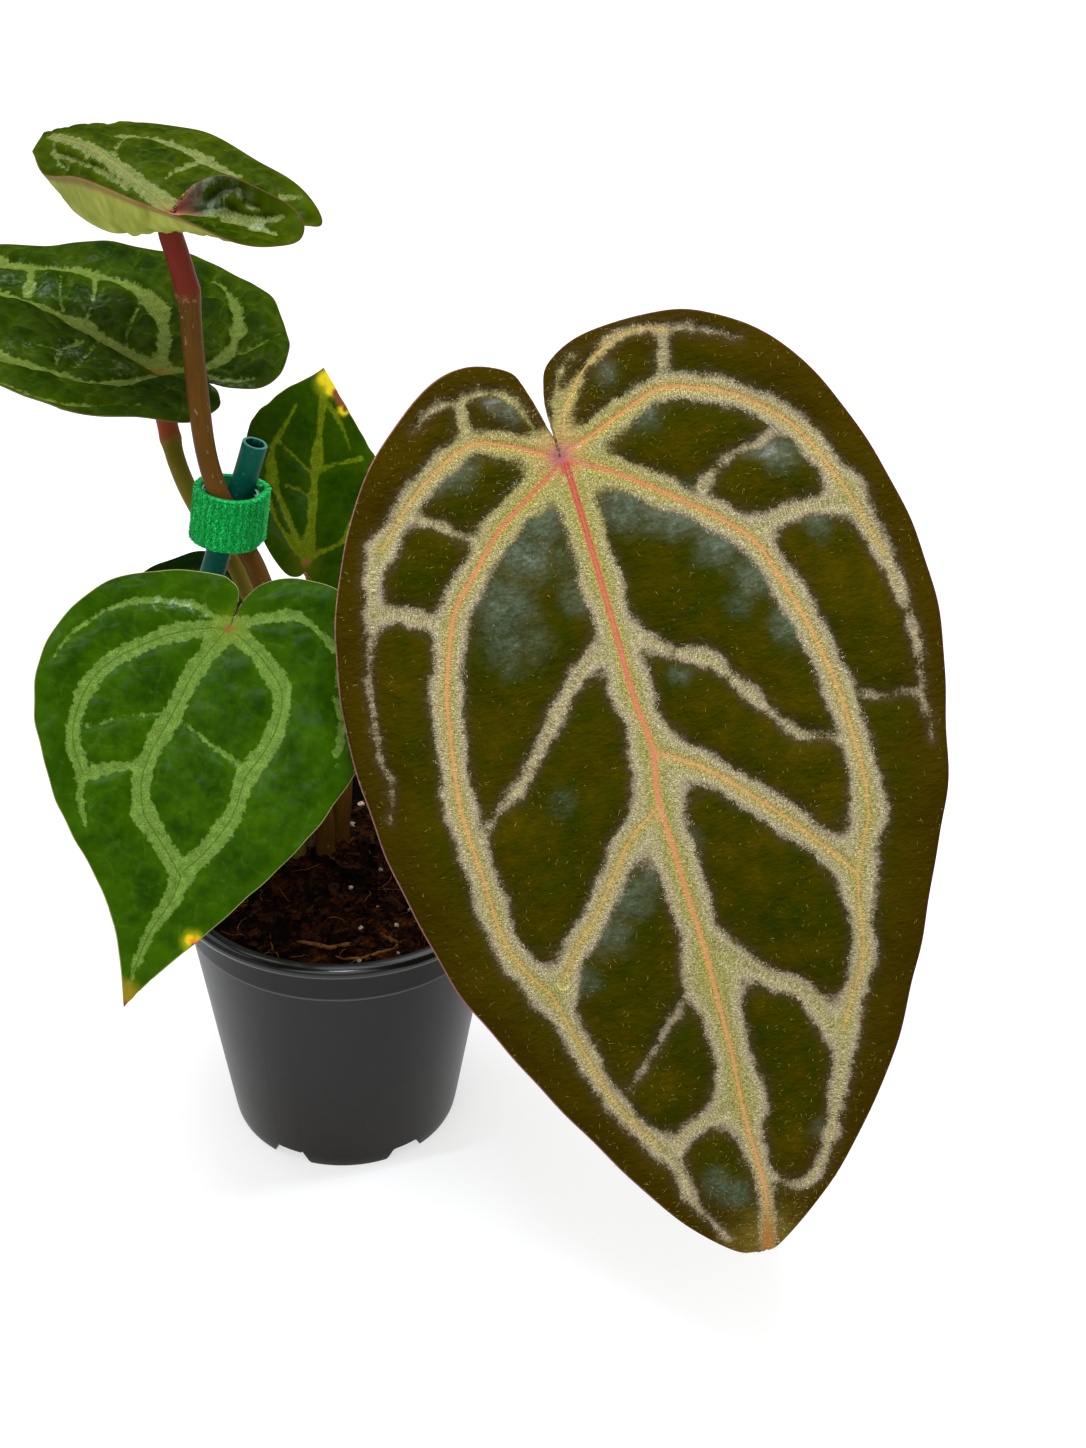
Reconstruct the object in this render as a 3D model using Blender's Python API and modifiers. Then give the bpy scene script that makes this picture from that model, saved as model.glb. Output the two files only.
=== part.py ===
"""A small hybrid anthurium with six leaves in a round nursery pot, tied to a hollow stake.

Metres, +Z up. The pot's axis is Z and the floor it stands on is z = 0. Lengths below are in
millimetres and angles in degrees, and they are turned into metres where the shapes are made.
"""
import math

import bmesh
import bpy
from mathutils import Matrix, Vector, noise

MM = 0.001
GAP = 0.3                      # clearance kept between pieces that touch

# Pot: a 10 cm nursery pot
POT_HEIGHT = 91.0
RIM_RADIUS = 52.0              # outer edge of the rolled rim
RIM_CREST_RADIUS = 50.3
RIM_ROLL = 3.2                 # height of the roll
BAND_TOP_RADIUS = 48.2
BAND_BOTTOM_RADIUS = 47.3
BAND_DEPTH = 14.5              # from the crest down to the step below the band
STEP = 1.0
FOOT_RADIUS = 34.6
FOOT_HEIGHT = 4.5
FOOT_RING = 3.4                # width of the standing ring
PAD_RADIUS = 16.0              # flat pad in the middle of the base
WALL = 1.3
POT_STEPS = 42
FEET = 6
NOTCH_WIDTH = (12.6, 8.6)      # at the floor and at the top of the notch
DRAIN_RADIUS = 3.4
DRAIN_CIRCLE = 25.5

# Potting mix
SOIL_LEVEL = 84.0
SOIL_MOUND = 2.2               # the middle stands this much higher than the edge
SOIL_RELIEF = 1.7
SOIL_RINGS = 11
CROWN = (-9.0, 20.0)           # where the stem comes out of the mix
CROWN_SPREAD = 8.6             # the stalks stand on this radius round the stem
STEM_RADIUS = 4.7
STEM_TOP = 95.0
STEM_DEPTH = 24.0
STALK_BASE = 72.0              # the foot of every stalk, in the mix

# Support stake: hollow plastic tube, bowed a little by the tie
STAKE_RADIUS = 3.5
STAKE_BORE = 2.6
STAKE_PLUG = 6.0               # the bore stops this far above the foot
STAKE_ROUTE = [(-35, 5, 45), (-37.2, 5.5, 66), (-39, 6, 86), (-40.5, 7, 110), (-40.5, 7.8, 140),
               (-37.8, 8.2, 170), (-32.8, 8.4, 189), (-28.5, 8.4, 202), (-23.9, 8.4, 214),
               (-20.4, 8.4, 225.4)]

# Plant tie: a strap closed in an oval loop
TIE_CENTRE = (-28.3, 5.2, 205.8)
TIE_HALF_WIDTH = 9.4
TIE_HALF_DEPTH = 9.0
TIE_HEIGHT = 15.0
TIE_THICKNESS = 1.7
TIE_LEAN = 8.0                 # the top leans to +X
TIE_TILT = -3.0
TIE_STEPS = 36

# Blades: in each blade's own frame, x runs across it to its right-hand side seen from above with
# the tip up, y runs from the junction with the stalk to the tip, and z is the upper side.
# A point is (across, along) or (across, along, lift) or (across, along, lift, sag), where the sag
# hollows the blade between the midrib and that point. The margins run from the notch at the
# junction round the lobe to the tip. A stalk's route leaves out its foot and its end at the blade.
BLADE_THICKNESS = 0.8
STALK_END = 1.0                # how far a stalk's end stays below the middle of its blade
RIB_START = 0.14               # the midrib's spokes start at this share of the blade's length
LEAVES = {
    "velvet": {
        "blade": "velvet_blade", "stalk": "brown_stalk",
        "junction": (59.0, -20.0, 234.5), "heading": -64, "dip": 57.5, "bank": -29,
        "fold": -1, "arch": 5.0, "ripple": 0.9, "waves": 9, "grid": (31, 6),
        "rib": [(0, 0), (-1.5, 40), (-3.5, 95), (-2.5, 150), (0, 217.5)],
        "right": [(0, -4), (2, -14), (7, -24), (18, -28), (30, -25), (46, -12.5), (58, 4),
                  (66, 22), (71.5, 44), (72.5, 68), (70.5, 90), (63, 124), (52.5, 149.5), (35.5, 181),
                  (20.5, 204), (8, 216), (0, 217.5)],
        "left": [(0, -4), (0.3, -13), (-3, -23.5), (-13, -28.5), (-30, -29.5), (-45, -26.5),
                 (-62, -14.5), (-75, 8), (-82.5, 33), (-85.5, 56), (-82.5, 80), (-75, 110),
                 (-63, 137), (-50.5, 164.5), (-33, 191), (-16.5, 208), (-4, 217), (0, 217.5)],
        "crown_angle": 0, "radius": (3.2, 2.6, 2.9),
        "route": [(0.5, 20, 100), (2.5, 19, 128), (10, 15.5, 152), (25, 9, 181), (43, 1, 208),
                  (55.5, -5.5, 223.5)],
    },
    "front": {
        "blade": "green_blade", "stalk": "olive_stalk",
        "junction": (-28.5, -20.0, 184.5), "heading": -112, "dip": 43.5, "bank": 22,
        "fold": 4, "arch": 2.5, "ripple": 0.6, "waves": 7, "grid": (24, 5),
        "rib": [(0, 0), (3, 20), (7, 40), (4.5, 62), (4, 78), (2, 92), (0, 104)],
        "right": [(0, -7.5), (4, -12.5), (12, -12.2), (21, -10), (33.5, -3.5), (43, 11), (45, 25),
                  (42.5, 36.5), (36, 49), (28, 61), (17, 72.5), (9.5, 82), (4.5, 92), (0, 104)],
        "left": [(0, -7.5), (-4, -12.5), (-9, -16.5), (-16.5, -18.5), (-26, -17.5), (-36, -10),
                 (-43, 4), (-45, 16), (-42, 31), (-34.5, 50), (-26, 65), (-16, 80), (-6, 94),
                 (0, 104)],
        "crown_angle": 240, "radius": (2.9, 2.3, 2.5),
        "route": [(-13.6, 12, 100), (-16, 8, 124), (-21, 0, 148), (-26.5, -9, 168)],
    },
    "top": {
        "blade": "young_blade", "stalk": "brown_stalk",
        "junction": (-38.8, 0.0, 292.6), "heading": 135, "dip": 0, "bank": 0,
        "fold": 0, "arch": 0.0, "ripple": 0.3, "waves": 5, "grid": (25, 5),
        "rib": [(0, 0, 0), (2.8, 17, 5.2), (4, 32.8, 8), (4.4, 43.8, 8.4), (6.5, 54.3, 5.2),
                (12, 59, -3)],
        "right": [(0.5, -1.5, 0.6), (8, -4, 0.5), (16, -10, 0), (24, -18, -1.5), (31, -21.5, -3),
                  (33.8, -18.5, -1), (34.4, -11.5, 1.6), (34.4, 2.6, 4), (34.3, 13.8, 6),
                  (33.4, 26, 7.5), (30, 37.3, 7.2), (23.7, 47, 6), (18.5, 54, 3.5),
                  (12, 59, -3)],
        "left": [(0.5, -1.5, 0.6), (2.8, -4.2, 6), (4.6, -8.8, 9.6), (7.6, -13.2, 10.9),
                 (12, -17.7, 8.7), (16.5, -25, 5), (17.2, -30, 1), (13.2, -33, -2),
                 (5.8, -34, -1.5), (-6.3, -33.3, 2.3, 1), (-12.8, -24, 6, 3), (-15, -11, 8, 6.5),
                 (-18.5, 2, 11, 10.5), (-16, 16, 9, 11), (-12, 29, 5.5, 8), (-8.5, 38.5, 3.5, 4),
                 (-3.2, 47.5, 4.2), (3, 54.5, 2.2), (12, 59, -3)],
        "crown_angle": 300, "radius": (3.0, 2.8, 3.1),
        "route": [(-5, 12.4, 100), (-9.5, 10.5, 132), (-14.5, 6, 162.8), (-20.8, 4, 187.4),
                  (-24.4, 3.2, 197), (-28.2, 1.7, 207.6), (-31.6, 1.5, 218), (-33.6, 1.5, 230),
                  (-34.8, 3, 248.6), (-35.2, 3, 262), (-35.4, 2.6, 270), (-37.4, 1, 281)],
    },
    "left": {
        "blade": "green_blade", "stalk": "olive_stalk",
        "junction": (-46.6, 36.0, 234.2), "heading": 142, "dip": -8, "bank": 0,
        "fold": 10, "arch": 3.0, "ripple": 0.7, "waves": 6, "grid": (24, 5),
        "rib": [(0, 0), (0, 27), (1.5, 45), (0, 97)],
        "right": [(4, -13), (6.2, -21), (12, -26.5), (21, -26.2), (32, -19.5), (43.5, -5),
                  (48, 10), (45.5, 26), (40.5, 38.5), (34, 51), (24, 65), (13, 79),
                  (5, 89), (0, 97)],
        "left": [(4, -13), (2.5, -18.5), (-4, -24.5), (-12.5, -26.5), (-21, -26.2), (-28, -22.5),
                 (-37, -14.3), (-45.5, -4), (-49.5, 8), (-47.5, 26), (-39, 45), (-26, 63),
                 (-12, 78), (-4, 88), (0, 97)],
        "crown_angle": 180, "radius": (2.9, 2.2, 2.9),
        "route": [(-17.2, 20.6, 105), (-18, 20.6, 150), (-25.3, 19.8, 173.8), (-28.8, 19.3, 183.7),
                  (-33.4, 19.4, 192), (-39.6, 22.8, 203.5), (-42.8, 28, 209.8), (-44.7, 33, 215.4),
                  (-46.3, 36, 223.5)],
    },
    "back": {
        "blade": "green_blade", "stalk": "olive_stalk",
        "junction": (-8.3, 45.0, 168.6), "heading": 80, "dip": -50, "bank": 0,
        "fold": 6, "arch": -3.0, "ripple": 0.5, "waves": 5, "grid": (20, 4),
        "rib": [(0, 0), (0.3, 30), (0, 60)],
        "right": [(0, -2.8), (2, -4.5), (5, -8), (11, -9.5), (17, -4), (20.5, 6), (21.5, 19),
                  (19, 31), (13.5, 40), (8, 48), (3, 55.5), (0, 60)],
        "left": [(0, -2.8), (-2, -4.5), (-6, -3.5), (-12.5, 4.5), (-17.5, 16), (-20.5, 28),
                 (-21.3, 38), (-18.5, 45), (-12, 51.5), (-5, 56), (0, 60)],
        "crown_angle": 60, "radius": (2.4, 1.9, 2.1),
        "route": [(-4.4, 28.6, 100), (-4.6, 35, 124), (-5.6, 44, 146), (-6.6, 50.5, 159)],
    },
    "rear": {
        "blade": "dark_blade", "stalk": "olive_stalk",
        "junction": (-25.0, 50.0, 156.0), "heading": 184, "dip": 8, "bank": 6,
        "fold": 0, "arch": 0.0, "ripple": 0.4, "waves": 5, "grid": (20, 4),
        "rib": [(0, 0), (0, 25), (0, 58)],
        "right": [(0, -3), (2, -5.5), (6, -6), (15, 1), (21.5, 6.5), (25.5, 12.5), (26, 19),
                  (24, 26.5), (19.5, 32.5), (13.5, 40.5), (7, 49), (0, 58)],
        "left": [(0, -3), (-3, -6.5), (-9, -8), (-16, -5.5), (-21.5, 1), (-24, 11), (-23.5, 21),
                 (-19.5, 31), (-13.5, 40.5), (-6.5, 49.5), (0, 58)],
        "crown_angle": 120, "radius": (2.4, 1.9, 2.1),
        "route": [(-14, 28.8, 100), (-16.2, 34, 122), (-21, 43.5, 140), (-24, 48.7, 148)],
    },
}

# Base colour and roughness of each material
FINISHES = {
    "black_plastic": ((0.045, 0.046, 0.05), 0.45),
    "potting_mix": ((0.03, 0.018, 0.01), 0.95),
    "stake_plastic": ((0.01, 0.11, 0.08), 0.35),
    "tie_cloth": ((0.02, 0.42, 0.10), 0.9),
    "stem": ((0.16, 0.10, 0.04), 0.7),
    "velvet_blade": ((0.05, 0.055, 0.01), 0.7),
    "green_blade": ((0.045, 0.13, 0.012), 0.35),
    "young_blade": ((0.07, 0.16, 0.02), 0.35),
    "dark_blade": ((0.01, 0.03, 0.006), 0.3),
    "brown_stalk": ((0.14, 0.06, 0.02), 0.5),
    "olive_stalk": ((0.18, 0.17, 0.05), 0.5),
}

PARTS = bpy.data.collections.new("potted_anthurium_hybrid")
CUTTERS = bpy.data.collections.new("cutters")


# Shared helpers

def material(name):
    """The named finish as a material, made the first time that it is asked for."""
    if name in bpy.data.materials:
        return bpy.data.materials[name]
    colour, roughness = FINISHES[name]
    made = bpy.data.materials.new(name)
    made.use_nodes = True
    shader = made.node_tree.nodes["Principled BSDF"]
    shader.inputs["Base Color"].default_value = (*colour, 1.0)
    shader.inputs["Roughness"].default_value = roughness
    shader.inputs["Metallic"].default_value = 0.0
    made.diffuse_color = (*colour, 1.0)
    return made


def place(name, mesh, finish):
    """A named part in the object's collection."""
    part = bpy.data.objects.new(name, mesh)
    PARTS.objects.link(part)
    mesh.materials.clear()
    mesh.materials.append(material(finish))
    return part


def cutter(name, mesh):
    tool = bpy.data.objects.new(name, mesh)
    CUTTERS.objects.link(tool)
    tool.hide_render = True
    tool.display_type = "WIRE"
    return tool


def mesh_of(maker, name):
    """A mesh from the function that fills a bmesh."""
    bm = bmesh.new()
    maker(bm)
    mesh = bpy.data.meshes.new(name)
    bm.to_mesh(mesh)
    bm.free()
    return mesh


def cut(part, tools):
    for tool in tools:
        step = part.modifiers.new(f"cut {tool.name}", "BOOLEAN")
        step.operation = "DIFFERENCE"
        step.solver = "EXACT"
        step.object = tool


def baked(part):
    """The part's evaluated mesh, for a shape that is worked on further."""
    depsgraph = bpy.context.evaluated_depsgraph_get()
    depsgraph.update()
    return bpy.data.meshes.new_from_object(part.evaluated_get(depsgraph))


def turned(name, profile, steps):
    """A turned mesh. The profile, in millimetres, runs down its outer side."""
    mesh = bpy.data.meshes.new(name)
    points = [(radius * MM, 0.0, height * MM) for radius, height in profile]
    mesh.from_pydata(points, [(i, i + 1) for i in range(len(points) - 1)], [])
    blank = bpy.data.objects.new(f"{name} profile", mesh)
    CUTTERS.objects.link(blank)
    screw = blank.modifiers.new("turn", "SCREW")
    screw.steps = steps
    screw.render_steps = steps
    screw.use_merge_vertices = True
    screw.merge_threshold = 0.00001
    result = baked(blank)
    bpy.data.objects.remove(blank)
    return result


def through(points, share):
    """A point on the smooth curve through the points, share 0 to 1 of its spans."""
    last = len(points) - 1
    at = min(max(share, 0.0), 1.0) * last
    span = min(int(at), last - 1)
    t = at - span
    before = points[max(span - 1, 0)]
    start = points[span]
    end = points[span + 1]
    after = points[min(span + 2, last)]
    return tuple(
        0.5 * (2 * b + (c - a) * t + (2 * a - 5 * b + 4 * c - d) * t * t
               + (3 * b - a - 3 * c + d) * t ** 3)
        for a, b, c, d in zip(before, start, end, after))


def evenly(points, count, fine=400):
    """Count + 1 points at even distances along the smooth curve through the points."""
    walk = [through(points, i / fine) for i in range(fine + 1)]
    run = [0.0]
    for here, there in zip(walk, walk[1:]):
        run.append(run[-1] + math.dist(here[:3], there[:3]))
    found = []
    i = 0
    for step in range(count + 1):
        goal = run[-1] * step / count
        while i < fine - 1 and run[i + 1] < goal:
            i += 1
        t = (goal - run[i]) / max(run[i + 1] - run[i], 1e-9)
        found.append(tuple(a + (b - a) * t for a, b in zip(walk[i], walk[i + 1])))
    return found


def tube_mesh(name, route, radii, spacing=8.0, sides=3):
    """A closed round tube along the route, whose radius follows radii from foot to top."""
    length = sum(math.dist(a, b) for a, b in zip(route, route[1:]))
    count = max(4, round(length / spacing))
    curve = bpy.data.curves.new(name, "CURVE")
    curve.dimensions = "3D"
    curve.bevel_depth = MM
    curve.bevel_resolution = sides
    curve.use_fill_caps = True
    spline = curve.splines.new("POLY")
    spline.points.add(count)
    for i, place_at in enumerate(evenly(route, count)):
        spline.points[i].co = (*(c * MM for c in place_at), 1.0)
        spline.points[i].radius = through([(r,) for r in radii], i / count)[0]
    blank = bpy.data.objects.new(name, curve)
    CUTTERS.objects.link(blank)
    mesh = baked(blank)
    bpy.data.objects.remove(blank)
    bm = bmesh.new()
    bm.from_mesh(mesh)
    bmesh.ops.remove_doubles(bm, verts=bm.verts, dist=0.000001)
    bm.to_mesh(mesh)
    bm.free()
    mesh.shade_smooth()
    mesh.set_sharp_from_angle(angle=math.radians(50))
    return mesh


# Pot

def pot_profile():
    step_height = POT_HEIGHT - BAND_DEPTH
    body_top = BAND_BOTTOM_RADIUS - STEP
    floor_top = FOOT_HEIGHT + WALL
    channel_outer = FOOT_RADIUS - FOOT_RING
    return [
        (0, floor_top), (FOOT_RADIUS - WALL - 0.6, floor_top),
        (body_top - WALL - 0.3, step_height - 1.0), (BAND_BOTTOM_RADIUS - WALL, step_height + 1.5),
        (BAND_TOP_RADIUS - WALL, POT_HEIGHT - RIM_ROLL), (RIM_CREST_RADIUS - 2.2, POT_HEIGHT - 0.5),
        (RIM_CREST_RADIUS - 1.0, POT_HEIGHT), (RIM_CREST_RADIUS, POT_HEIGHT),
        (RIM_RADIUS - 0.4, POT_HEIGHT - 0.9), (RIM_RADIUS, POT_HEIGHT - 2.0),
        (RIM_RADIUS - 0.5, POT_HEIGHT - RIM_ROLL), (BAND_TOP_RADIUS + 0.6, POT_HEIGHT - 4.2),
        (BAND_TOP_RADIUS - 0.2, POT_HEIGHT - 6.0), (BAND_BOTTOM_RADIUS, step_height + 0.4),
        (BAND_BOTTOM_RADIUS - 0.4, step_height), (body_top, step_height - 0.4),
        (FOOT_RADIUS + 0.5, 2.4), (FOOT_RADIUS, 0), (channel_outer, 0),
        (channel_outer - 0.8, FOOT_HEIGHT), (PAD_RADIUS + 1.2, FOOT_HEIGHT), (PAD_RADIUS, 0), (0, 0),
    ]


def notch(bm):
    """A block with sloping sides, reaching in through the standing ring."""
    bmesh.ops.create_cube(bm, size=1.0)
    wide, narrow = NOTCH_WIDTH
    for corner in bm.verts:
        high = corner.co.z > 0
        corner.co = Vector((
            (FOOT_RADIUS + 5.0 if corner.co.x > 0 else FOOT_RADIUS - FOOT_RING - 2.0) * MM,
            math.copysign(narrow if high else wide + 1.2, corner.co.y) / 2 * MM,
            (FOOT_HEIGHT if high else -1.0) * MM))


def drain(bm):
    reach = 3 * WALL
    bmesh.ops.create_cone(bm, cap_ends=True, segments=16, radius1=DRAIN_RADIUS * MM,
                          radius2=DRAIN_RADIUS * MM, depth=2 * reach * MM)
    bmesh.ops.translate(bm, verts=bm.verts,
                        vec=Vector((DRAIN_CIRCLE, 0, FOOT_HEIGHT + WALL / 2)) * MM)


def make_pot():
    mesh = turned("nursery_pot", pot_profile(), POT_STEPS)
    mesh.shade_smooth()
    mesh.set_sharp_from_angle(angle=math.radians(35))
    pot = place("nursery_pot", mesh, "black_plastic")
    tools = []
    for i in range(FEET):
        turn = Matrix.Rotation(math.radians(-60 + 360 / FEET * i), 4, "Z")
        for kind, maker in (("notch", notch), ("drain", drain)):
            tool = cutter(f"{kind} {i + 1}", mesh_of(maker, kind))
            tool.matrix_world = turn
            tools.append(tool)
    cut(pot, tools)


# Potting mix

def soil_profile():
    """Fills the pot, a little clear of its wall, with a low mound on top."""
    inside = [(radius - GAP - 0.1, height) for radius, height in pot_profile()[1:5]]
    floor_radius, floor = inside[0]
    edge_radius, edge_height = inside[2][0], SOIL_LEVEL - 1.5
    top = [(edge_radius * i / SOIL_RINGS,
            SOIL_LEVEL + SOIL_MOUND * math.cos(math.pi / 2 * i / SOIL_RINGS))
           for i in range(SOIL_RINGS)]
    return top + [(edge_radius, edge_height), (inside[1][0], inside[1][1]),
                  (floor_radius, floor + GAP), (0, floor + GAP)]


def make_soil(tools):
    mesh = turned("potting_mix", soil_profile(), POT_STEPS)
    for vertex in mesh.vertices:
        if vertex.co.z > (SOIL_LEVEL - 1.0) * MM:
            spot = Vector((vertex.co.x, vertex.co.y, 0)) / MM
            lump = noise.noise(spot / 7.0) + 0.7 * noise.noise(spot / 3.1)
            edge = min(1.0, max(0.0, (46.0 - spot.length) / 6.0))
            vertex.co.z += SOIL_RELIEF * lump * (0.35 + 0.65 * edge) * MM
    mesh.shade_smooth()
    soil = place("potting_mix", mesh, "potting_mix")
    cut(soil, tools)


# Stem, stalks, stake and tie

def make_stem():
    foot = SOIL_LEVEL - STEM_DEPTH
    profile = [(0, STEM_TOP), (STEM_RADIUS * 0.55, STEM_TOP - 0.6), (STEM_RADIUS, STEM_TOP - 4),
               (STEM_RADIUS * 0.9, SOIL_LEVEL), (STEM_RADIUS, foot + 4), (STEM_RADIUS * 0.6, foot),
               (0, foot)]
    mesh = turned("stem_base", profile, 20)
    mesh.transform(Matrix.Translation(Vector((*CROWN, 0)) * MM))
    mesh.shade_smooth()
    place("stem_base", mesh, "stem")
    hole = turned("stem hole", [(0, STEM_TOP + 8), (STEM_RADIUS + GAP, STEM_TOP + 8),
                                (STEM_RADIUS + GAP, foot - GAP), (0, foot - GAP)], 20)
    hole.transform(Matrix.Translation(Vector((*CROWN, 0)) * MM))
    return cutter("stem hole", hole)


def leaf_frame(leaf):
    """The blade's own frame as a matrix, with its translation in millimetres."""
    turn = math.radians(leaf["heading"])
    fall = math.radians(leaf["dip"])
    along = Vector((math.cos(turn) * math.cos(fall), math.sin(turn) * math.cos(fall),
                    -math.sin(fall)))
    level = Vector((math.sin(turn), -math.cos(turn), 0))
    roll = math.radians(leaf["bank"])
    across = level * math.cos(roll) + level.cross(along) * math.sin(roll)
    up = across.cross(along)
    frame = Matrix((across, along, up)).transposed().to_4x4()
    frame.translation = Vector(leaf["junction"])
    return frame


def stalk_route(leaf):
    """From the foot in the mix to the underside of the blade, which it meets squarely."""
    turn = math.radians(leaf["crown_angle"])
    foot_x = CROWN[0] + CROWN_SPREAD * math.cos(turn)
    foot_y = CROWN[1] + CROWN_SPREAD * math.sin(turn)
    frame = leaf_frame(leaf)
    end = [tuple(frame @ Vector((0, 0, -depth))) for depth in (5.0, STALK_END)]
    return ([(foot_x, foot_y, STALK_BASE), (foot_x, foot_y, SOIL_LEVEL + 3)] + leaf["route"] + end)


def make_stalk(name, leaf):
    route = stalk_route(leaf)
    foot_radius, middle_radius, top_radius = leaf["radius"]
    radii = [foot_radius, middle_radius, middle_radius, middle_radius, top_radius, top_radius * 0.7]
    place(f"petiole_{name}", tube_mesh(f"petiole_{name}", route, radii),
          leaf["stalk"])
    foot = Vector(route[0])
    hole = tube_mesh(f"hole {name}", [tuple(foot - Vector((0, 0, GAP))), (*foot[:2], 80.0),
                                      (*foot[:2], SOIL_LEVEL + 8)],
                     [foot_radius + GAP] * 3, sides=4)
    return cutter(f"hole {name}", hole)


def make_stake():
    outer = tube_mesh("support_stake", STAKE_ROUTE, [STAKE_RADIUS] * 2, sides=4)
    stake = place("support_stake", outer, "stake_plastic")
    foot = Vector(STAKE_ROUTE[0])
    rise = (Vector(STAKE_ROUTE[1]) - foot).normalized()
    top = Vector(STAKE_ROUTE[-1])
    beyond = top + (top - Vector(STAKE_ROUTE[-2])).normalized() * STAKE_RADIUS
    bore = [tuple(foot + rise * STAKE_PLUG)] + STAKE_ROUTE[1:] + [tuple(beyond)]
    cut(stake, [cutter("stake bore", tube_mesh("stake bore", bore, [STAKE_BORE] * 2, sides=4))])
    hole = [tuple(foot - rise * GAP)] + STAKE_ROUTE[1:5]
    return cutter("hole stake", tube_mesh("hole stake", hole, [STAKE_RADIUS + GAP] * 2, sides=5))


def make_tie():
    def band(bm):
        ring = bmesh.ops.create_circle(bm, cap_ends=False, segments=TIE_STEPS, radius=1.0)
        for corner in ring["verts"]:
            corner.co.x *= TIE_HALF_WIDTH * MM
            corner.co.y *= TIE_HALF_DEPTH * MM
            corner.co.z = -TIE_HEIGHT / 2 * MM
        grown = bmesh.ops.extrude_edge_only(bm, edges=bm.edges)["geom"]
        raised = [item for item in grown if isinstance(item, bmesh.types.BMVert)]
        bmesh.ops.translate(bm, verts=raised, vec=Vector((0, 0, TIE_HEIGHT * MM)))
        bmesh.ops.recalc_face_normals(bm, faces=bm.faces)

    mesh = mesh_of(band, "plant_tie")
    mesh.transform(Matrix.Translation(Vector(TIE_CENTRE) * MM)
                   @ Matrix.Rotation(math.radians(TIE_LEAN), 4, "Y")
                   @ Matrix.Rotation(math.radians(TIE_TILT), 4, "X"))
    tie = place("plant_tie", mesh, "tie_cloth")
    thick = tie.modifiers.new("strap", "SOLIDIFY")
    thick.thickness = TIE_THICKNESS * MM
    thick.offset = 0.0
    thick.use_even_offset = True


# Blades

def full(point):
    """A blade point with its lift and sag filled in."""
    return tuple(float(v) for v in (*point, 0.0, 0.0)[:4])


def blade_points(leaf, side):
    """Rows of points in millimetres in the blade's own frame, one row for each spoke of one half.

    A spoke runs from the midrib to the margin. The spokes of the lobes all start at the junction.
    """
    spokes, rings = leaf["grid"]
    sign = 1 if side == "right" else -1
    rib = [full(p) for p in leaf["rib"]]
    length = rib[-1][1]
    fold = math.tan(math.radians(leaf["fold"]))
    margins = {half: evenly([full(p) for p in leaf[half]], spokes) for half in ("right", "left")}
    rows = []
    for i, edge in enumerate(margins[side]):
        reach = (margins["right"][i][1] + margins["left"][i][1]) / 2
        share = max(0.0, (reach / length - RIB_START) / (1 - RIB_START))
        start = rib_point(rib, share if i < spokes else 1.0)
        wave = leaf["ripple"] * math.sin(2 * math.pi * leaf["waves"] * i / spokes + sign)
        calm = min(1.0, 6 * (1 - i / spokes), 6 * i / spokes)
        row = []
        for j in range(rings + 1):
            out = j / rings
            across = start[0] + (edge[0] - start[0]) * out
            along = start[1] + (edge[1] - start[1]) * out
            lift = start[2] + (edge[2] - start[2]) * out
            lift -= edge[3] * 6.75 * out * out * (1 - out)
            lift += fold * abs(across - start[0])
            lift += leaf["arch"] * math.sin(math.pi * min(max(along / length, 0.0), 1.0)) ** 2
            lift += wave * calm * out ** 3
            row.append(Vector((across, along, lift)))
        rows.append(row)
    return rows


def rib_point(rib, share):
    """The point of the midrib that is this share of the way to the tip."""
    goal = share * rib[-1][1]
    low, high = 0.0, 1.0
    for _ in range(24):
        middle = (low + high) / 2
        if through(rib, middle)[1] < goal:
            low = middle
        else:
            high = middle
    return through(rib, (low + high) / 2)


def blade_faces(bm, rows):
    """Triangles between neighbouring spokes."""
    corners = [[bm.verts.new(point * MM) for point in row] for row in rows]
    for here, there in zip(corners, corners[1:]):
        for j in range(len(here) - 1):
            if j % 2:
                shapes = ((here[j], here[j + 1], there[j + 1]), (here[j], there[j + 1], there[j]))
            else:
                shapes = ((here[j], here[j + 1], there[j]), (here[j + 1], there[j + 1], there[j]))
            for shape in shapes:
                bm.faces.new(shape)


def make_blade(name, leaf):
    def sheet(bm):
        for side in ("right", "left"):
            blade_faces(bm, blade_points(leaf, side))
        bmesh.ops.remove_doubles(bm, verts=bm.verts, dist=0.00005)
        bmesh.ops.recalc_face_normals(bm, faces=bm.faces)
        if sum(face.normal.z * face.calc_area() for face in bm.faces) < 0:
            bmesh.ops.reverse_faces(bm, faces=bm.faces)

    mesh = mesh_of(sheet, f"blade_{name}")
    frame = leaf_frame(leaf)
    frame.translation *= MM
    mesh.transform(frame)
    mesh.shade_smooth()
    blade = place(f"blade_{name}", mesh, leaf["blade"])
    thick = blade.modifiers.new("thickness", "SOLIDIFY")
    thick.thickness = BLADE_THICKNESS * MM
    thick.offset = 0.0


def main():
    for old in list(bpy.data.objects):
        bpy.data.objects.remove(old)
    for group in (PARTS, CUTTERS):
        bpy.context.scene.collection.children.link(group)

    make_pot()
    holes = [make_stem(), make_stake()]
    for name, leaf in LEAVES.items():
        make_blade(name, leaf)
        holes.append(make_stalk(name, leaf))
    make_soil(holes)
    make_tie()


main()
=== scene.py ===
"""A small hybrid anthurium in a nursery pot, dressed for the studio. Lengths in the sections are
in millimetres unless a name says otherwise, and are turned into metres as the meshes are made.
"""
import math

import bmesh
import bpy
import numpy as np
from mathutils import Matrix, Vector, noise
from mathutils.bvhtree import BVHTree


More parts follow.
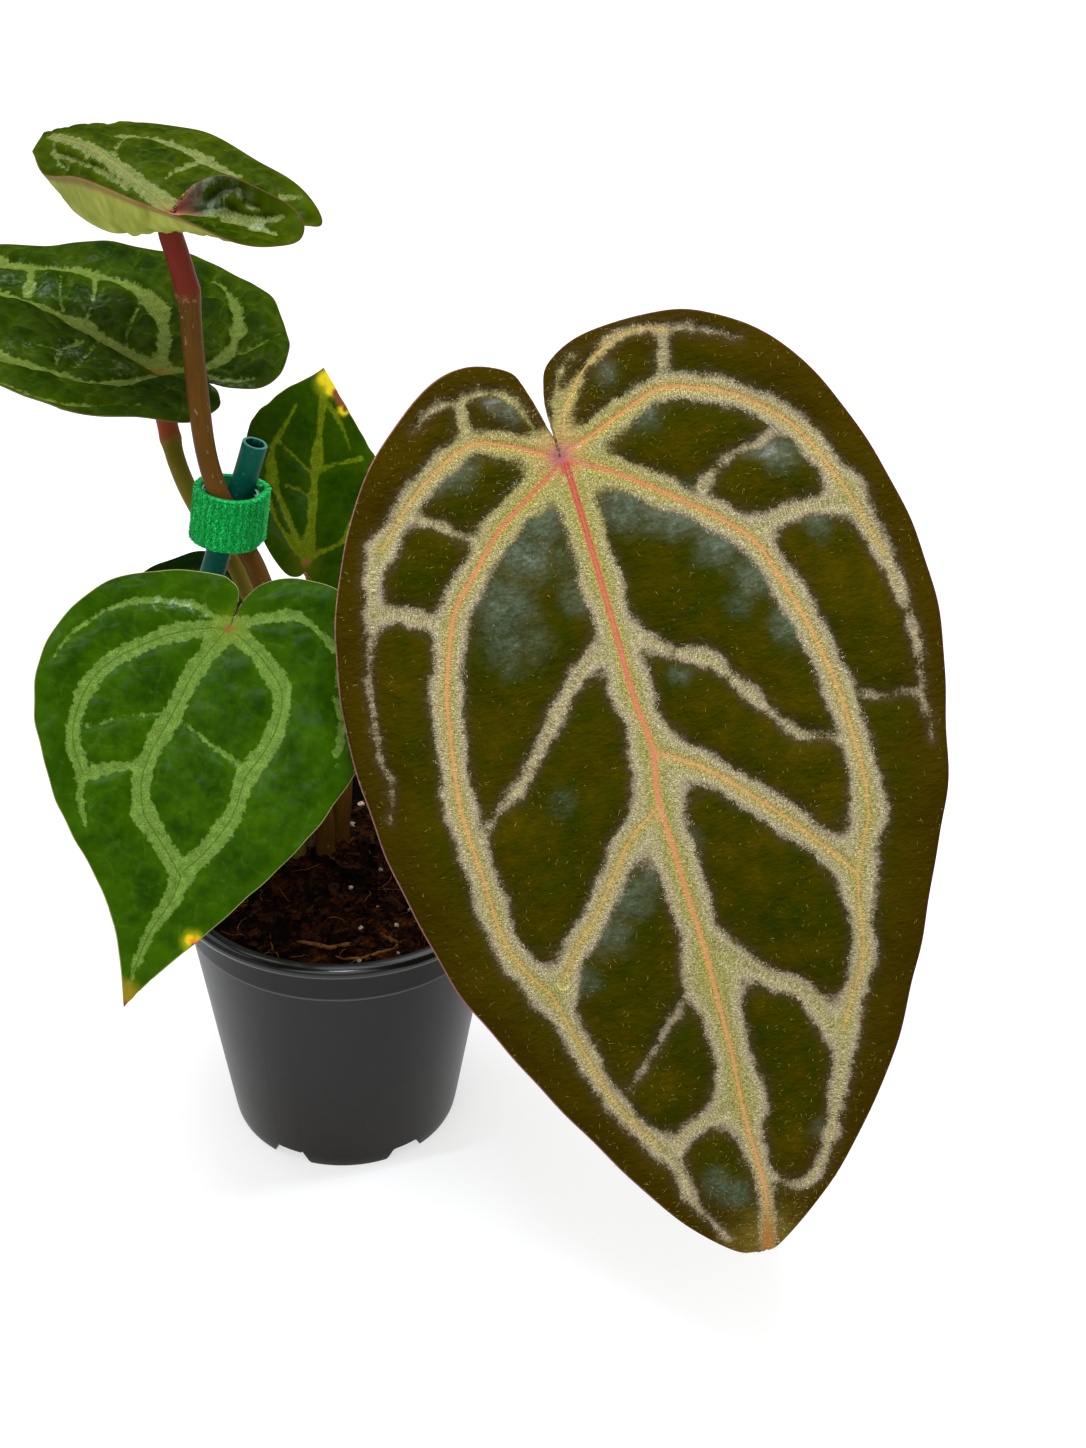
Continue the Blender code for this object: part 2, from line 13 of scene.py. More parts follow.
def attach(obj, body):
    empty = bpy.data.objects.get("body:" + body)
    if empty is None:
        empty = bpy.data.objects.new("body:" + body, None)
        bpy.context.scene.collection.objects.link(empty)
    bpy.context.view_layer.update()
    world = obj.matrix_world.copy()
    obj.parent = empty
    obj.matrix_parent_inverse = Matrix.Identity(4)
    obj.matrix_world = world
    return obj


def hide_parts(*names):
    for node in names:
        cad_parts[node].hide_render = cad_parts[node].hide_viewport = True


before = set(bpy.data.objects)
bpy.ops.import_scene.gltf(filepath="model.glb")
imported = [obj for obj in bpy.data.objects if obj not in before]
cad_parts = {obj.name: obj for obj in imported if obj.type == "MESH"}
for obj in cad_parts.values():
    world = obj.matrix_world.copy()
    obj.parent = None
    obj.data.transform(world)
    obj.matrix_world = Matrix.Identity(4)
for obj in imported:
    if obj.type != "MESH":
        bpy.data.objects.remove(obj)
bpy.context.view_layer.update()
MM = 0.001


# Camera
# The plant was photographed from half a metre away and a little above, with a portrait lens. Its
# picture is upright, 1086 by 1448, and the places read from it below are in that picture's pixels.

PICTURE = (1086, 1448)
FOCAL_PIXELS = 2200.0
EYE = Vector((0.0, -534.7, 484.4))
PITCH, YAW, ROLL = 32.729, 6.331, 2.053


def placed(name, data):
    """An object in the scene for a mesh, a lens or a lamp, at the origin."""
    data.name = name
    made = bpy.data.objects.new(name, data)
    bpy.context.scene.collection.objects.link(made)
    return made


def camera_axes():
    down, turn, roll = (math.radians(a) for a in (PITCH, YAW, ROLL))
    look = Vector((math.sin(turn) * math.cos(down), math.cos(turn) * math.cos(down),
                   -math.sin(down)))
    level = Vector((math.cos(turn), -math.sin(turn), 0))
    upright = level.cross(look)
    right = level * math.cos(roll) + upright * math.sin(roll)
    return right, upright * math.cos(roll) - level * math.sin(roll), look


RIGHT, UP, LOOK = camera_axes()
lens = bpy.data.cameras.new("studio_camera")
lens.sensor_width = 36.0
lens.lens = lens.sensor_width * FOCAL_PIXELS / PICTURE[1]
camera = placed("studio_camera", lens)
camera.matrix_world = (Matrix.Translation(EYE * MM)
                       @ Matrix((RIGHT, UP, -LOOK)).transposed().to_4x4())
bpy.context.scene.camera = camera


def sight(pixel):
    """The direction from the camera through a pixel of the picture."""
    x, y = pixel
    return (LOOK + RIGHT * ((x - PICTURE[0] / 2) / FOCAL_PIXELS)
            - UP * ((y - PICTURE[1] / 2) / FOCAL_PIXELS)).normalized()


# Nursery pot
# A thin-walled pot moulded in black polypropylene: a rolled glossy rim, a band below it that ends
# in a small step, satin tapering sides, and six feet with notches between them and drain holes.

POT_HEIGHT = 91.0
RIM_RADIUS = 52.0
BAND_TOP, BAND_BOTTOM = 48.2, 47.3
STEP_HEIGHT = 76.5
STEP = 1.0
FOOT_RADIUS = 34.6
FOOT_HEIGHT = 4.5
FOOT_RING = 3.4
PAD_RADIUS = 16.0
POT_WALL = 1.3
POT_STEPS = 168
FEET = 6
NOTCH_HALF = (6.9, 4.3)        # half a notch's width at the floor and at its top
DRAIN_RADIUS, DRAIN_CIRCLE = 3.4, 25.5


def working(operation, swapped=False):
    """A method for Mark that adds one Math node."""
    def work(mark, other=0.0):
        values = (other, mark) if swapped else (mark, other)
        return mark.surface.node("Math", {"operation": operation}, dict(enumerate(values)))
    return work


class Mark:
    """A value that changes over a surface. Arithmetic on it adds Math nodes."""

    def __init__(self, surface, socket):
        self.surface, self.socket = surface, socket

    __add__ = working("ADD")
    __sub__ = working("SUBTRACT")
    __rsub__ = working("SUBTRACT", swapped=True)
    __mul__ = working("MULTIPLY")
    __abs__ = working("ABSOLUTE")
    least = working("MINIMUM")
    most = working("MAXIMUM")

    def fades(self, start, end):
        """1 at start and beyond it, 0 at end, with a soft slope between."""
        return self.surface.node("MapRange", {"interpolation_type": "SMOOTHSTEP"},
                                 {"Value": self, "From Min": end, "From Max": start})


class Surface:
    """One material: a Principled shader with its fixed values, and the nodes that feed it."""

    def __init__(self, name, **fixed):
        self.material = bpy.data.materials.new(name)
        self.material.use_nodes = True
        self.tree = self.material.node_tree
        self.ends_in(**fixed)

    def node(self, kind, settings, sockets, out=0):
        made = self.tree.nodes.new(f"ShaderNode{kind}")
        for key, value in settings.items():
            setattr(made, key, value)
        for key, value in sockets.items():
            self.feed(made.inputs[key], value)
        return Mark(self, made.outputs[out])

    def feed(self, socket, value):
        if isinstance(value, Mark):
            self.tree.links.new(value.socket, socket)
        else:
            socket.default_value = (*value, 1.0) if socket.type == "RGBA" else value

    def ends_in(self, **marks):
        for key, value in marks.items():
            self.feed(self.tree.nodes["Principled BSDF"].inputs[key.replace("_", " ")], value)
        return self.material

    def attribute(self, name, out="Fac"):
        return self.node("Attribute", {"attribute_name": name}, {}, out)

    def attributes(self, *names):
        return [self.attribute(name) for name in names]

    def place(self):
        return self.node("TexCoord", {}, {}, "Object")

    def combined(self, *parts):
        return self.node("CombineXYZ", {}, dict(enumerate(parts)))

    def part(self, vector, axis):
        return self.node("SeparateXYZ", {}, {0: vector}, axis)

    def vector_maths(self, operation, *values, out=0):
        return self.node("VectorMath", {"operation": operation}, dict(enumerate(values)), out)

    def stretched(self, vector, scale):
        return self.vector_maths("MULTIPLY", vector, scale)

    def length(self, vector):
        return self.vector_maths("LENGTH", vector, out=1)

    def distance(self, vector, place):
        return self.vector_maths("DISTANCE", vector, place, out=1)

    def grain(self, vector, scale, detail=3.0, roughness=0.55):
        """Noise from 0 to 1, about 0.5."""
        return self.node("TexNoise", {}, {"Vector": vector, "Scale": scale, "Detail": detail,
                                          "Roughness": roughness})

    def centred(self, vector, scale, detail=4.0, roughness=0.6):
        """Noise about zero that reaches about 1 each way."""
        return (self.grain(vector, scale, detail, roughness) - 0.5) * 4.0

    def mixed(self, share, below, above, blend="MIX"):
        return self.node("Mix", {"data_type": "RGBA", "blend_type": blend},
                         {0: share, 6: below, 7: above}, 2)

    def coats(self, colour, *coats):
        """The colour with others laid over it, each with its share."""
        for share, above in coats:
            colour = self.mixed(share, colour, above)
        return colour

    def darkened(self, share, colour, by):
        """The colour multiplied by a grey or a tint, by a share."""
        return self.mixed(share, colour, by, "MULTIPLY")

    def ramp(self, share, stops):
        made = self.node("ValToRGB", {}, {"Fac": share})
        elements = made.socket.node.color_ramp.elements
        while len(elements) < len(stops):
            elements.new(0.5)
        for element, (place, colour) in zip(elements, stops):
            element.position = place
            element.color = (*colour, 1.0)
        return made

    def relief(self, height, depth_mm):
        return self.node("Bump", {}, {"Height": height, "Strength": 1.0, "Distance": depth_mm * MM})


def dress(name, mesh, materials, stands_for=None):
    """A finished piece: its object at the origin, riding on the part's one body."""
    piece = placed(name, mesh)
    mesh.materials.clear()
    for material in materials:
        mesh.materials.append(material)
    if stands_for:
        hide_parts(stands_for)
    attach(piece, "root")
    return piece


def mesh_from(bm, sharp=None):
    mesh = bpy.data.meshes.new("form")
    bm.to_mesh(mesh)
    bm.free()
    mesh.shade_smooth()
    if sharp is not None:
        mesh.set_sharp_from_angle(angle=math.radians(sharp))
    return mesh


def arc(centre, radius, start, end, count):
    """Points of a round edge in a turned profile, from one angle to another."""
    return [(centre[0] + radius * math.cos(math.radians(start + (end - start) * i / count)),
             centre[1] + radius * math.sin(math.radians(start + (end - start) * i / count)))
            for i in range(count + 1)]


def pot_profile():
    """From the middle of the inner floor up the wall, over the rim and down to the base."""
    floor = FOOT_HEIGHT + POT_WALL
    body_top = BAND_BOTTOM - STEP
    channel = FOOT_RADIUS - FOOT_RING
    inside = [(0, floor), (FOOT_RADIUS - POT_WALL - 1.6, floor),
              (FOOT_RADIUS - POT_WALL - 0.6, floor + 0.8),
              (body_top - POT_WALL - 0.3, STEP_HEIGHT - 1.5),
              (BAND_BOTTOM - POT_WALL, STEP_HEIGHT + 1.0),
              (BAND_TOP - POT_WALL, POT_HEIGHT - 3.6)]
    lip = arc((BAND_TOP - POT_WALL + 1.9, POT_HEIGHT - 1.7), 1.7, 165, 100, 5)
    roll = arc((RIM_RADIUS - 1.75, POT_HEIGHT - 1.75), 1.75, 80, -60, 12)
    band = [(BAND_TOP + 0.9, POT_HEIGHT - 3.7), (BAND_TOP, POT_HEIGHT - 4.6),
            (BAND_BOTTOM + 0.05, STEP_HEIGHT + 0.5)]
    step = arc((BAND_BOTTOM - 0.35, STEP_HEIGHT + 0.4), 0.4, 0, -90, 4)
    foot = [(body_top + 0.1, STEP_HEIGHT - 0.1), (body_top - 0.05, STEP_HEIGHT - 0.6),
            (FOOT_RADIUS + 1.0, 4.6), (FOOT_RADIUS + 0.4, 1.4)]
    sole = arc((FOOT_RADIUS - 0.7, 0.8), 0.8, -10, -90, 4)
    under = [(channel + 0.3, 0), (channel, 0.4), (channel - 0.8, FOOT_HEIGHT),
             (PAD_RADIUS + 1.2, FOOT_HEIGHT), (PAD_RADIUS + 0.3, 0.3), (PAD_RADIUS, 0), (0, 0)]
    return inside + lip + roll + band + step + foot + sole + under


def turned(profile, steps):
    """A closed turned form with its poles merged."""
    bm = bmesh.new()
    line = [bm.verts.new((radius * MM, 0, height * MM)) for radius, height in profile]
    edges = [bm.edges.new(pair) for pair in zip(line, line[1:])]
    bmesh.ops.spin(bm, geom=line + edges, cent=(0, 0, 0), axis=(0, 0, 1), angle=2 * math.pi,
                   steps=steps, use_merge=True)
    bmesh.ops.remove_doubles(bm, verts=bm.verts, dist=0.00001)
    bmesh.ops.recalc_face_normals(bm, faces=bm.faces)
    return bm


def foot_cuts():
    """Notches with sloping sides through the standing ring, and as many drain holes."""
    bm = bmesh.new()
    for i in range(FEET):
        turn = Matrix.Rotation(math.radians(360 / FEET * i), 4, "Z")
        block = bmesh.ops.create_cube(bm, size=1.0)["verts"]
        for corner in block:
            high = corner.co.z > 0
            corner.co = turn @ (Vector((
                FOOT_RADIUS + 5.0 if corner.co.x > 0 else FOOT_RADIUS - FOOT_RING - 2.0,
                math.copysign(NOTCH_HALF[high], corner.co.y), FOOT_HEIGHT if high else -1.0)) * MM)
        upper = [edge for edge in bm.edges if all(v in block and v.co.z > 0 for v in edge.verts)]
        bmesh.ops.bevel(bm, geom=upper, affect="EDGES", offset=0.9 * MM, segments=3, profile=0.5,
                        material=-1)
        hole = turn @ Matrix.Translation(Vector((DRAIN_CIRCLE, 0, FOOT_HEIGHT + 0.65)) * MM)
        bmesh.ops.create_cone(bm, cap_ends=True, segments=28, radius1=DRAIN_RADIUS * MM,
                              radius2=DRAIN_RADIUS * MM, depth=8 * MM, matrix=hole)
    return bm


def black_plastic():
    """Satin black with moulding haze, gloss on the rolled rim and a painted highlight on the step."""
    made = Surface("black_plastic", Specular_IOR_Level=0.165, Coat_Roughness=0.14)
    place = made.place()
    height = made.part(place, 2)
    haze, fine = made.grain(place, 38.0, 4.0), made.grain(place, 2600.0, 2.0)
    outward = made.length(made.stretched(place, (1.0, 1.0, 0.0)))
    rim = height.fades(0.0876, 0.0862) * outward.fades(0.0492, 0.0486)
    # The thin band at the step's edge gets a much lighter colour: a painted highlight where the edge
    # catches the light.
    edge = height.fades(0.0763, 0.0759) * height.fades(0.0770, 0.0776)
    band = height.fades(0.0770, 0.0766) * (1 - rim)
    scuff = made.grain(made.stretched(place, (1.0, 1.0, 5.0)), 420.0, 5.0).fades(0.68, 0.60)
    colour = made.coats(
        made.ramp(haze, [(0.3, (0.0038, 0.0035, 0.0033)), (0.75, (0.0066, 0.0062, 0.006))]),
        (height.fades(0.008, 0.060) * 0.8, (0.0062, 0.0044, 0.0024)),
        (band * 0.5, (0.006, 0.006, 0.007)),
        (edge * 0.75, (0.085, 0.072, 0.066)),
        (scuff * 0.10, (0.06, 0.06, 0.06)),
        (rim, (0.001, 0.001, 0.0015)))
    matt = haze * 0.12 + fine * 0.06 + 0.27
    return made.ends_in(Base_Color=colour, Roughness=matt * (1 - rim) + rim * 0.26,
                        Coat_Weight=rim * 0.50, Normal=made.relief(fine * (1 - rim), 0.012))


def in_order(mesh):
    """The same mesh with its corners and faces sorted, because the Boolean's order varies. Corners
    at exactly one place become one."""
    places = [tuple(vertex.co) for vertex in mesh.vertices]
    corners = sorted(set(places))
    rank = {corner: number for number, corner in enumerate(corners)}
    faces = []
    for face in mesh.polygons:
        ring = list(dict.fromkeys(rank[places[index]] for index in face.vertices))
        first = ring.index(min(ring))
        faces.append(ring[first:] + ring[:first])
    made = bpy.data.meshes.new("form")
    made.from_pydata(corners, [], sorted(faces))
    return made


bare = placed("pot blank", mesh_from(turned(pot_profile(), POT_STEPS)))
tool = placed("foot cuts", mesh_from(foot_cuts()))
cuts = bare.modifiers.new("foot cuts", "BOOLEAN")
cuts.operation = "DIFFERENCE"
cuts.solver = "EXACT"
cuts.object = tool
depsgraph = bpy.context.evaluated_depsgraph_get()
depsgraph.update()
pot_mesh = in_order(bare.evaluated_get(depsgraph).data)
for blank in (bare, tool):
    bpy.data.objects.remove(blank)
pot_mesh.shade_smooth()
pot_mesh.set_sharp_from_angle(angle=math.radians(38))
dress("pot", pot_mesh, [black_plastic()], stands_for="nursery_pot")


# Potting mix
# Damp dark peat with reddish crumbs, a few strips of bark and coir and white grains of perlite,
# heaped a little towards the stem and clear of the pot's rolled rim.

SOIL_LEVEL = 84.0
SOIL_MOUND = 2.2
SOIL_EDGE = 45.3
SOIL_SPOKES, SOIL_RINGS = 220, 84
SOIL_TOP = 0.86                # the share of the sheet that is the top, before it turns down
CROWN = Vector((-9.0, 20.0, 0.0))
JITTER = 0.22                  # how uneven the corners of the loose bits are
STEM_ROOM, SMALL_BIT = 12.0, 2.2       # this near the stem only bits this small are kept
seed =np.random.default_rng(7)


def keep(mesh, name, values):
    """Stores a number or a vector for each corner of the mesh."""
    kind, field = ("FLOAT_VECTOR", "vector") if values.ndim == 2 else ("FLOAT", "value")
    layer = mesh.attributes.new(name, kind, "POINT")
    layer.data.foreach_set(field, values.astype(np.float32).ravel())


def read(values, field):
    """A vector of each corner, as rows of three."""
    out = np.empty(len(values) * 3)
    values.foreach_get(field, out)
    return out.reshape(-1, 3)


def sheet(across, along, place):
    """A rectangular sheet of quads whose corners the function moves into place."""
    bm = bmesh.new()
    bmesh.ops.create_grid(bm, x_segments=across, y_segments=along, size=1.0)
    mesh = mesh_from(bm)
    spots = read(mesh.vertices, "co")
    moved, marks = place((spots[:, 0] + 1) / 2, (spots[:, 1] + 1) / 2)
    mesh.vertices.foreach_set("co", (moved * MM).ravel())
    for name, values in marks.items():
        keep(mesh, name, values)
    return mesh


def welded(mesh, towards=None, gap=0.02):
    """Merges a sheet's seams. Its faces turn outwards, or towards a direction."""
    bm = bmesh.new()
    bm.from_mesh(mesh)
    bmesh.ops.remove_doubles(bm, verts=bm.verts, dist=gap * MM)
    bmesh.ops.recalc_face_normals(bm, faces=bm.faces)
    if towards is not None and sum(f.normal.dot(towards) * f.calc_area() for f in bm.faces) < 0:
        bmesh.ops.reverse_faces(bm, faces=bm.faces)
    bm.to_mesh(mesh)
    bm.free()
    mesh.shade_smooth()
    return mesh


def lumps(x, y):
    """The heaped surface's height over its level at a place."""
    spot = Vector((x, y, 0.0))
    coarse = noise.noise(spot / 7.0) + 0.7 * noise.noise(spot / 3.1)
    crumbs = abs(noise.noise(spot / 1.5)) + 0.6 * abs(noise.noise(spot / 0.7))
    return 1.2 * coarse + 1.25 * crumbs


def soil_height(x, y):
    radius = math.hypot(x, y)
    inner = min(1.0, max(0.0, (SOIL_EDGE - radius) / 4.0))
    mound = SOIL_MOUND * math.cos(math.pi / 2 * min(radius / SOIL_EDGE, 1.0))
    return SOIL_LEVEL - 0.9 * (1 - inner) + mound + lumps(x, y) * (0.4 + 0.6 * inner) - 0.4


def soil_form(turn, out):
    """The top from the middle outwards, then down the pot's wall to its floor."""
    angle = turn * 2 * np.pi
    top = np.clip(out / SOIL_TOP, 0, 1)
    radius = SOIL_EDGE * top ** 0.8
    x, y = radius * np.cos(angle), radius * np.sin(angle)
    z = np.array([soil_height(a, b) for a, b in zip(x, y)])
    down = np.clip((out - SOIL_TOP) / (1 - SOIL_TOP), 0, 1)
    wall = np.minimum(down / 0.75, 1)
    floor = np.clip((down - 0.75) / 0.25, 0, 1)
    low = FOOT_HEIGHT + POT_WALL + 0.5
    squeeze = np.where(out > SOIL_TOP, (1 - wall * 0.285) * (1 - floor), 1.0)
    z = np.where(out > SOIL_TOP, z * (1 - wall) + low * wall, z)
    return np.stack([x * squeeze, y * squeeze, z], 1), {}


def damp_peat():
    made = Surface("damp_peat", Specular_IOR_Level=0.03)
    place = made.place()
    coarse, fine = made.grain(place, 170.0, 6.0, 0.65), made.grain(place, 900.0, 4.0, 0.7)
    tint, broad = made.grain(place, 320.0), made.grain(place, 75.0)
    colour = made.ramp(coarse * 0.40 + fine * 0.30 + broad * 0.30, [
        (0.42, (0.0010, 0.0004, 0.0001)), (0.51, (0.0075, 0.0022, 0.0004)),
        (0.58, (0.050, 0.014, 0.0020)), (0.68, (0.21, 0.075, 0.016))])
    colour = made.mixed(tint.fades(0.70, 0.60) * 0.6, colour, (0.045, 0.009, 0.002))
    return made.ends_in(Base_Color=colour, Roughness=fine * 0.5 + 0.5,
                        Normal=made.relief(fine * 0.6 + coarse * 0.4, 0.9))


def chip_finish(name, dark, light, roughness):
    made = Surface(name, Specular_IOR_Level=0.05, Roughness=roughness)
    shade = made.grain(made.place(), 650.0, 5.0, 0.7)
    return made.ends_in(Base_Color=made.ramp(shade, [(0.35, dark), (0.7, light)]),
                        Normal=made.relief(shade, 0.25))


def scatter(name, finish, kind, count, reach, tilt, draw, sharp=None):
    """Loose bits on the mix, as one piece: draw gives each one's size, and tilt is in degrees."""
    bm = bmesh.new()
    for _ in range(count):
        angle, radius = seed.uniform(0, 2 * np.pi), reach * math.sqrt(seed.uniform(0, 1))
        x, y = radius * math.cos(angle), radius * math.sin(angle)
        size = draw()
        if math.hypot(x - CROWN.x, y - CROWN.y) < STEM_ROOM and max(size) > SMALL_BIT:
            continue
        place = (Matrix.Translation(Vector((x, y, soil_height(x, y) + 0.25 * size[2])) * MM)
                 @ Matrix.Rotation(seed.uniform(0, 2 * np.pi), 4, "Z")
                 @ Matrix.Rotation(math.radians(seed.normal(0, tilt)), 4, "X")
                 @ Matrix.Rotation(math.radians(seed.normal(0, tilt)), 4, "Y")
                 @ Matrix.Diagonal((*(Vector(size) * 0.5 * MM), 1)))
        for vertex in kind(bm):
            vertex.co = place @ (vertex.co * (1 + seed.uniform(-JITTER, JITTER)))
    dress(name, mesh_from(bm, sharp), [finish])


def lump_of(level):
    return lambda bm: bmesh.ops.create_icosphere(bm, subdivisions=level, radius=1.0)["verts"]


def flake(bm):
    """A chip of bark: a block with more corners along its length."""
    earlier = len(bm.verts)
    block = bmesh.ops.create_cube(bm, size=2.0)["verts"]
    edges = list({edge for v in block for edge in v.link_edges
                  if abs(edge.verts[0].co.x - edge.verts[1].co.x) > 1})
    bmesh.ops.subdivide_edges(bm, edges=edges, cuts=3)
    bm.verts.ensure_lookup_table()
    return bm.verts[earlier:]


def fibre_route(x, y, length, turn, bend):
    """A curved strand that lies on the mix."""
    points = []
    for i in range(9):
        share = i / 8 - 0.5
        along = turn + bend * share
        px = x + math.cos(along) * length * share
        py = y + math.sin(along) * length * share
        lie = soil_height(px, py)
        points.append(Vector((px, py, max(lie, SOIL_LEVEL) + 0.35)))
    return points


def strand(bm, points, radius, sides=4):
    """A thin tapering tube along the points, spun out of rings that are bridged."""
    rings = []
    last = len(points) - 1
    for i, point in enumerate(points):
        way = (points[min(i + 1, last)] - points[max(i - 1, 0)]).normalized()
        thick = radius * (0.35 + 0.65 * math.sin(math.pi * (0.12 + 0.76 * i / last)))
        turn = way.to_track_quat("Z", "Y").to_matrix().to_4x4()
        rings.append(bmesh.ops.create_circle(
            bm, cap_ends=i in (0, last), segments=sides, radius=thick * MM,
            matrix=Matrix.Translation(point * MM) @ turn)["verts"])
    for here, there in zip(rings, rings[1:]):
        loops = [e for ring in (here, there) for e in
                 {e for v in ring for e in v.link_edges if all(w in ring for w in e.verts)}]
        bmesh.ops.bridge_loops(bm, edges=loops)


def grains(low, high, wide, deep):
    """Draws the size of a rounded bit: its length, and its width and height by share."""
    return lambda: seed.uniform(low, high) * np.array([1, seed.uniform(*wide), seed.uniform(*deep)])


peat = damp_peat()
dress("potting_mix_bed", welded(sheet(SOIL_SPOKES, SOIL_RINGS, soil_form)), [peat],
      stands_for="potting_mix")
scatter("peat_crumbs", peat, lump_of(1), 1300, 44, 30, grains(0.5, 1.9, (0.6, 1), (0.5, 0.9)))
scatter("bark_chips", chip_finish("bark", (0.002, 0.0007, 0.0002), (0.060, 0.018, 0.003), 0.8),
        flake, 110, 43, 18,
        lambda: (seed.uniform(2.0, 6.5), seed.uniform(0.7, 2.4), seed.uniform(0.3, 0.9)), sharp=40)
scatter("perlite_grains", chip_finish("perlite", (0.22, 0.16, 0.10), (0.62, 0.52, 0.40), 0.85),
        lump_of(2), 26, 41, 30, grains(0.9, 2.4, (0.7, 1), (0.6, 0.9)))

coir = bmesh.new()
for _ in range(60):
    turn, radius = seed.uniform(0, 2 * np.pi), 42 * math.sqrt(seed.uniform(0.02, 1))
    strand(coir, fibre_route(radius * math.cos(turn), radius * math.sin(turn),
                             seed.uniform(4, 13), seed.uniform(0, 2 * np.pi),
                             seed.normal(0, 0.8)), seed.uniform(0.08, 0.2))
for x, y, length, turn, thick in ((-4.0, -33.0, 19.0, -0.10, 0.75), (10.0, -36.5, 13.0, 0.35, 0.6),
                                  (14.0, -31.0, 6.0, -0.5, 0.7), (2.0, -38.5, 9.0, -0.15, 0.4)):
    strand(coir, fibre_route(x, y, length, turn, 0.3), thick, sides=6)
dress("coir_strands", mesh_from(coir),
      [chip_finish("coir", (0.04, 0.012, 0.002), (0.30, 0.125, 0.028), 0.65)])


# Stem base
# The short brown stem at the surface of the mix, wrapped in the dry pointed sheaths that each new
# leaf leaves behind. The stalks stand round it.

STEM_RADIUS = 4.7
STEM_TOP = 95.0
STEM_FOOT = 60.0


def smooth_line(points, count, fine=60):
    """Count + 1 points at even distances along the smooth curve through the points."""
    given = np.array([[float(v) for v in p] for p in points])
    padded = np.vstack([given[:1], given, given[-1:]])
    t = np.linspace(0, 1, fine)[:, None]
    parts = []
    for a, b, c, d in zip(padded, padded[1:], padded[2:], padded[3:]):
        parts.append(0.5 * (2 * b + (c - a) * t + (2 * a - 5 * b + 4 * c - d) * t ** 2
                            + (3 * b - a - 3 * c + d) * t ** 3))
    walk = np.vstack(parts)
    run = np.concatenate([[0], np.cumsum(np.linalg.norm(np.diff(walk[:, :3], axis=0), axis=1))])
    goals = np.linspace(0, run[-1], count + 1)
    return np.stack([np.interp(goals, run, walk[:, k]) for k in range(walk.shape[1])], 1)


def units(rows):
    """The rows as directions of length one."""
    return rows / np.linalg.norm(rows, axis=1)[:, None]


def tube_sheet(route, radius_at, around, along, wobble):
    """A closed tube along a smooth route. Its marks say how far along and round it a place is."""
    line = smooth_line(route, along)
    way = units(np.gradient(line, axis=0))
    side = np.zeros_like(way)
    side[0] = np.cross(way[0], (0.0, 1.0, 0.02))
    for i in range(1, len(way)):
        side[i] = side[i - 1] - way[i] * np.dot(side[i - 1], way[i])
        side[i] /= np.linalg.norm(side[i])
    side[0] /= np.linalg.norm(side[0])
    third = np.cross(way, side)
    length = np.linalg.norm(np.diff(line, axis=0), axis=1).sum()

    def form(turn, out):
        at = np.rint(out * along).astype(int)
        angle = turn * 2 * np.pi
        radius = np.where((at == 0) | (at == along), 0.0, radius_at(out))
        radius = radius * (1 + wobble(turn, out))
        spread = side[at] * np.cos(angle)[:, None] + third[at] * np.sin(angle)[:, None]
        return line[at] + spread * radius[:, None], {"along": out, "run": out * length,
                                                     "round": turn}

    return sheet(around, along, form)


def sheath(bm, turn, height, spread, lean):
    """A dry pointed sheath: a strip of grid curled round the stem and narrowed to its tip."""
    for vertex in bmesh.ops.create_grid(bm, x_segments=10, y_segments=14, size=1.0)["verts"]:
        u, v = vertex.co.x, (vertex.co.y + 1) / 2
        wide = spread * (1 - v ** 1.6) + 0.03
        angle = turn + u * wide
        radius = STEM_RADIUS + 0.6 + lean * v ** 2 + 0.5 * abs(u) * v
        vertex.co = (CROWN + Vector((radius * math.cos(angle), radius * math.sin(angle),
                                     SOIL_LEVEL + 1.0 + height * v))) * MM


def dry_sheath():
    made = Surface("dry_sheath", Specular_IOR_Level=0.3, Roughness=0.75)
    place = made.place()
    fibre = made.grain(made.stretched(place, (1.0, 1.0, 0.12)), 1500.0, 4.0, 0.6)
    return made.ends_in(Base_Color=made.ramp(fibre, [
        (0.3, (0.05, 0.022, 0.008)), (0.6, (0.20, 0.11, 0.045)), (0.8, (0.34, 0.22, 0.10))]),
        Normal=made.relief(fibre, 0.25))


def stem_radius(out):
    """Even up to the last tenth of the stem, and rounded off there."""
    cap = np.sqrt(np.maximum(0.02, 1 - ((out - 0.9) / 0.1) ** 2))
    return STEM_RADIUS * np.where(out > 0.9, cap, 1.0)


dry = dry_sheath()
stem = tube_sheet([(CROWN.x, CROWN.y, z) for z in (STEM_FOOT, 72, 84, STEM_TOP)], stem_radius,
                  32, 40, lambda turn, out: 0.05 * np.sin(out * 70) + 0.04 * np.sin(turn * 19))
dress("stem", welded(stem), [dry], stands_for="stem_base")
sheaths = bmesh.new()
for turn, height, spread, lean in ((0.5, 15, 1.1, 0.8), (2.6, 12, 1.2, 0.5), (4.4, 18, 0.9, 1.0),
                                   (5.5, 9, 1.0, 1.6)):
    sheath(sheaths, turn, height, spread, lean)
wraps = dress("stem_sheaths", mesh_from(sheaths), [dry])
thick = wraps.modifiers.new("thickness", "SOLIDIFY")
thick.thickness = 0.25 * MM


# Support stake
# A hollow plastic tube, cut square at its top, with a satin dark green skin and pale burrs where
# the knife went through. It is bowed a little by the tie.

STAKE_RADIUS = 3.5
STAKE_BORE = 2.6
STAKE_ROUTE = [(-35, 5, 45), (-37.2, 5.5, 66), (-39, 6, 86), (-40.5, 7, 110), (-40.5, 7.8, 140),
               (-37.8, 8.2, 170), (-32.8, 8.4, 189), (-28.5, 8.4, 202), (-23.9, 8.4, 214),
               (-20.4, 8.4, 225.4)]
BORE_DEPTH = 0.30              # the share of the tube's length that is drilled out in the mesh
UP_STEPS, CUT_STEPS, BORE_STEPS = 110, 5, 26    # rings up the outside, over the cut, down the bore


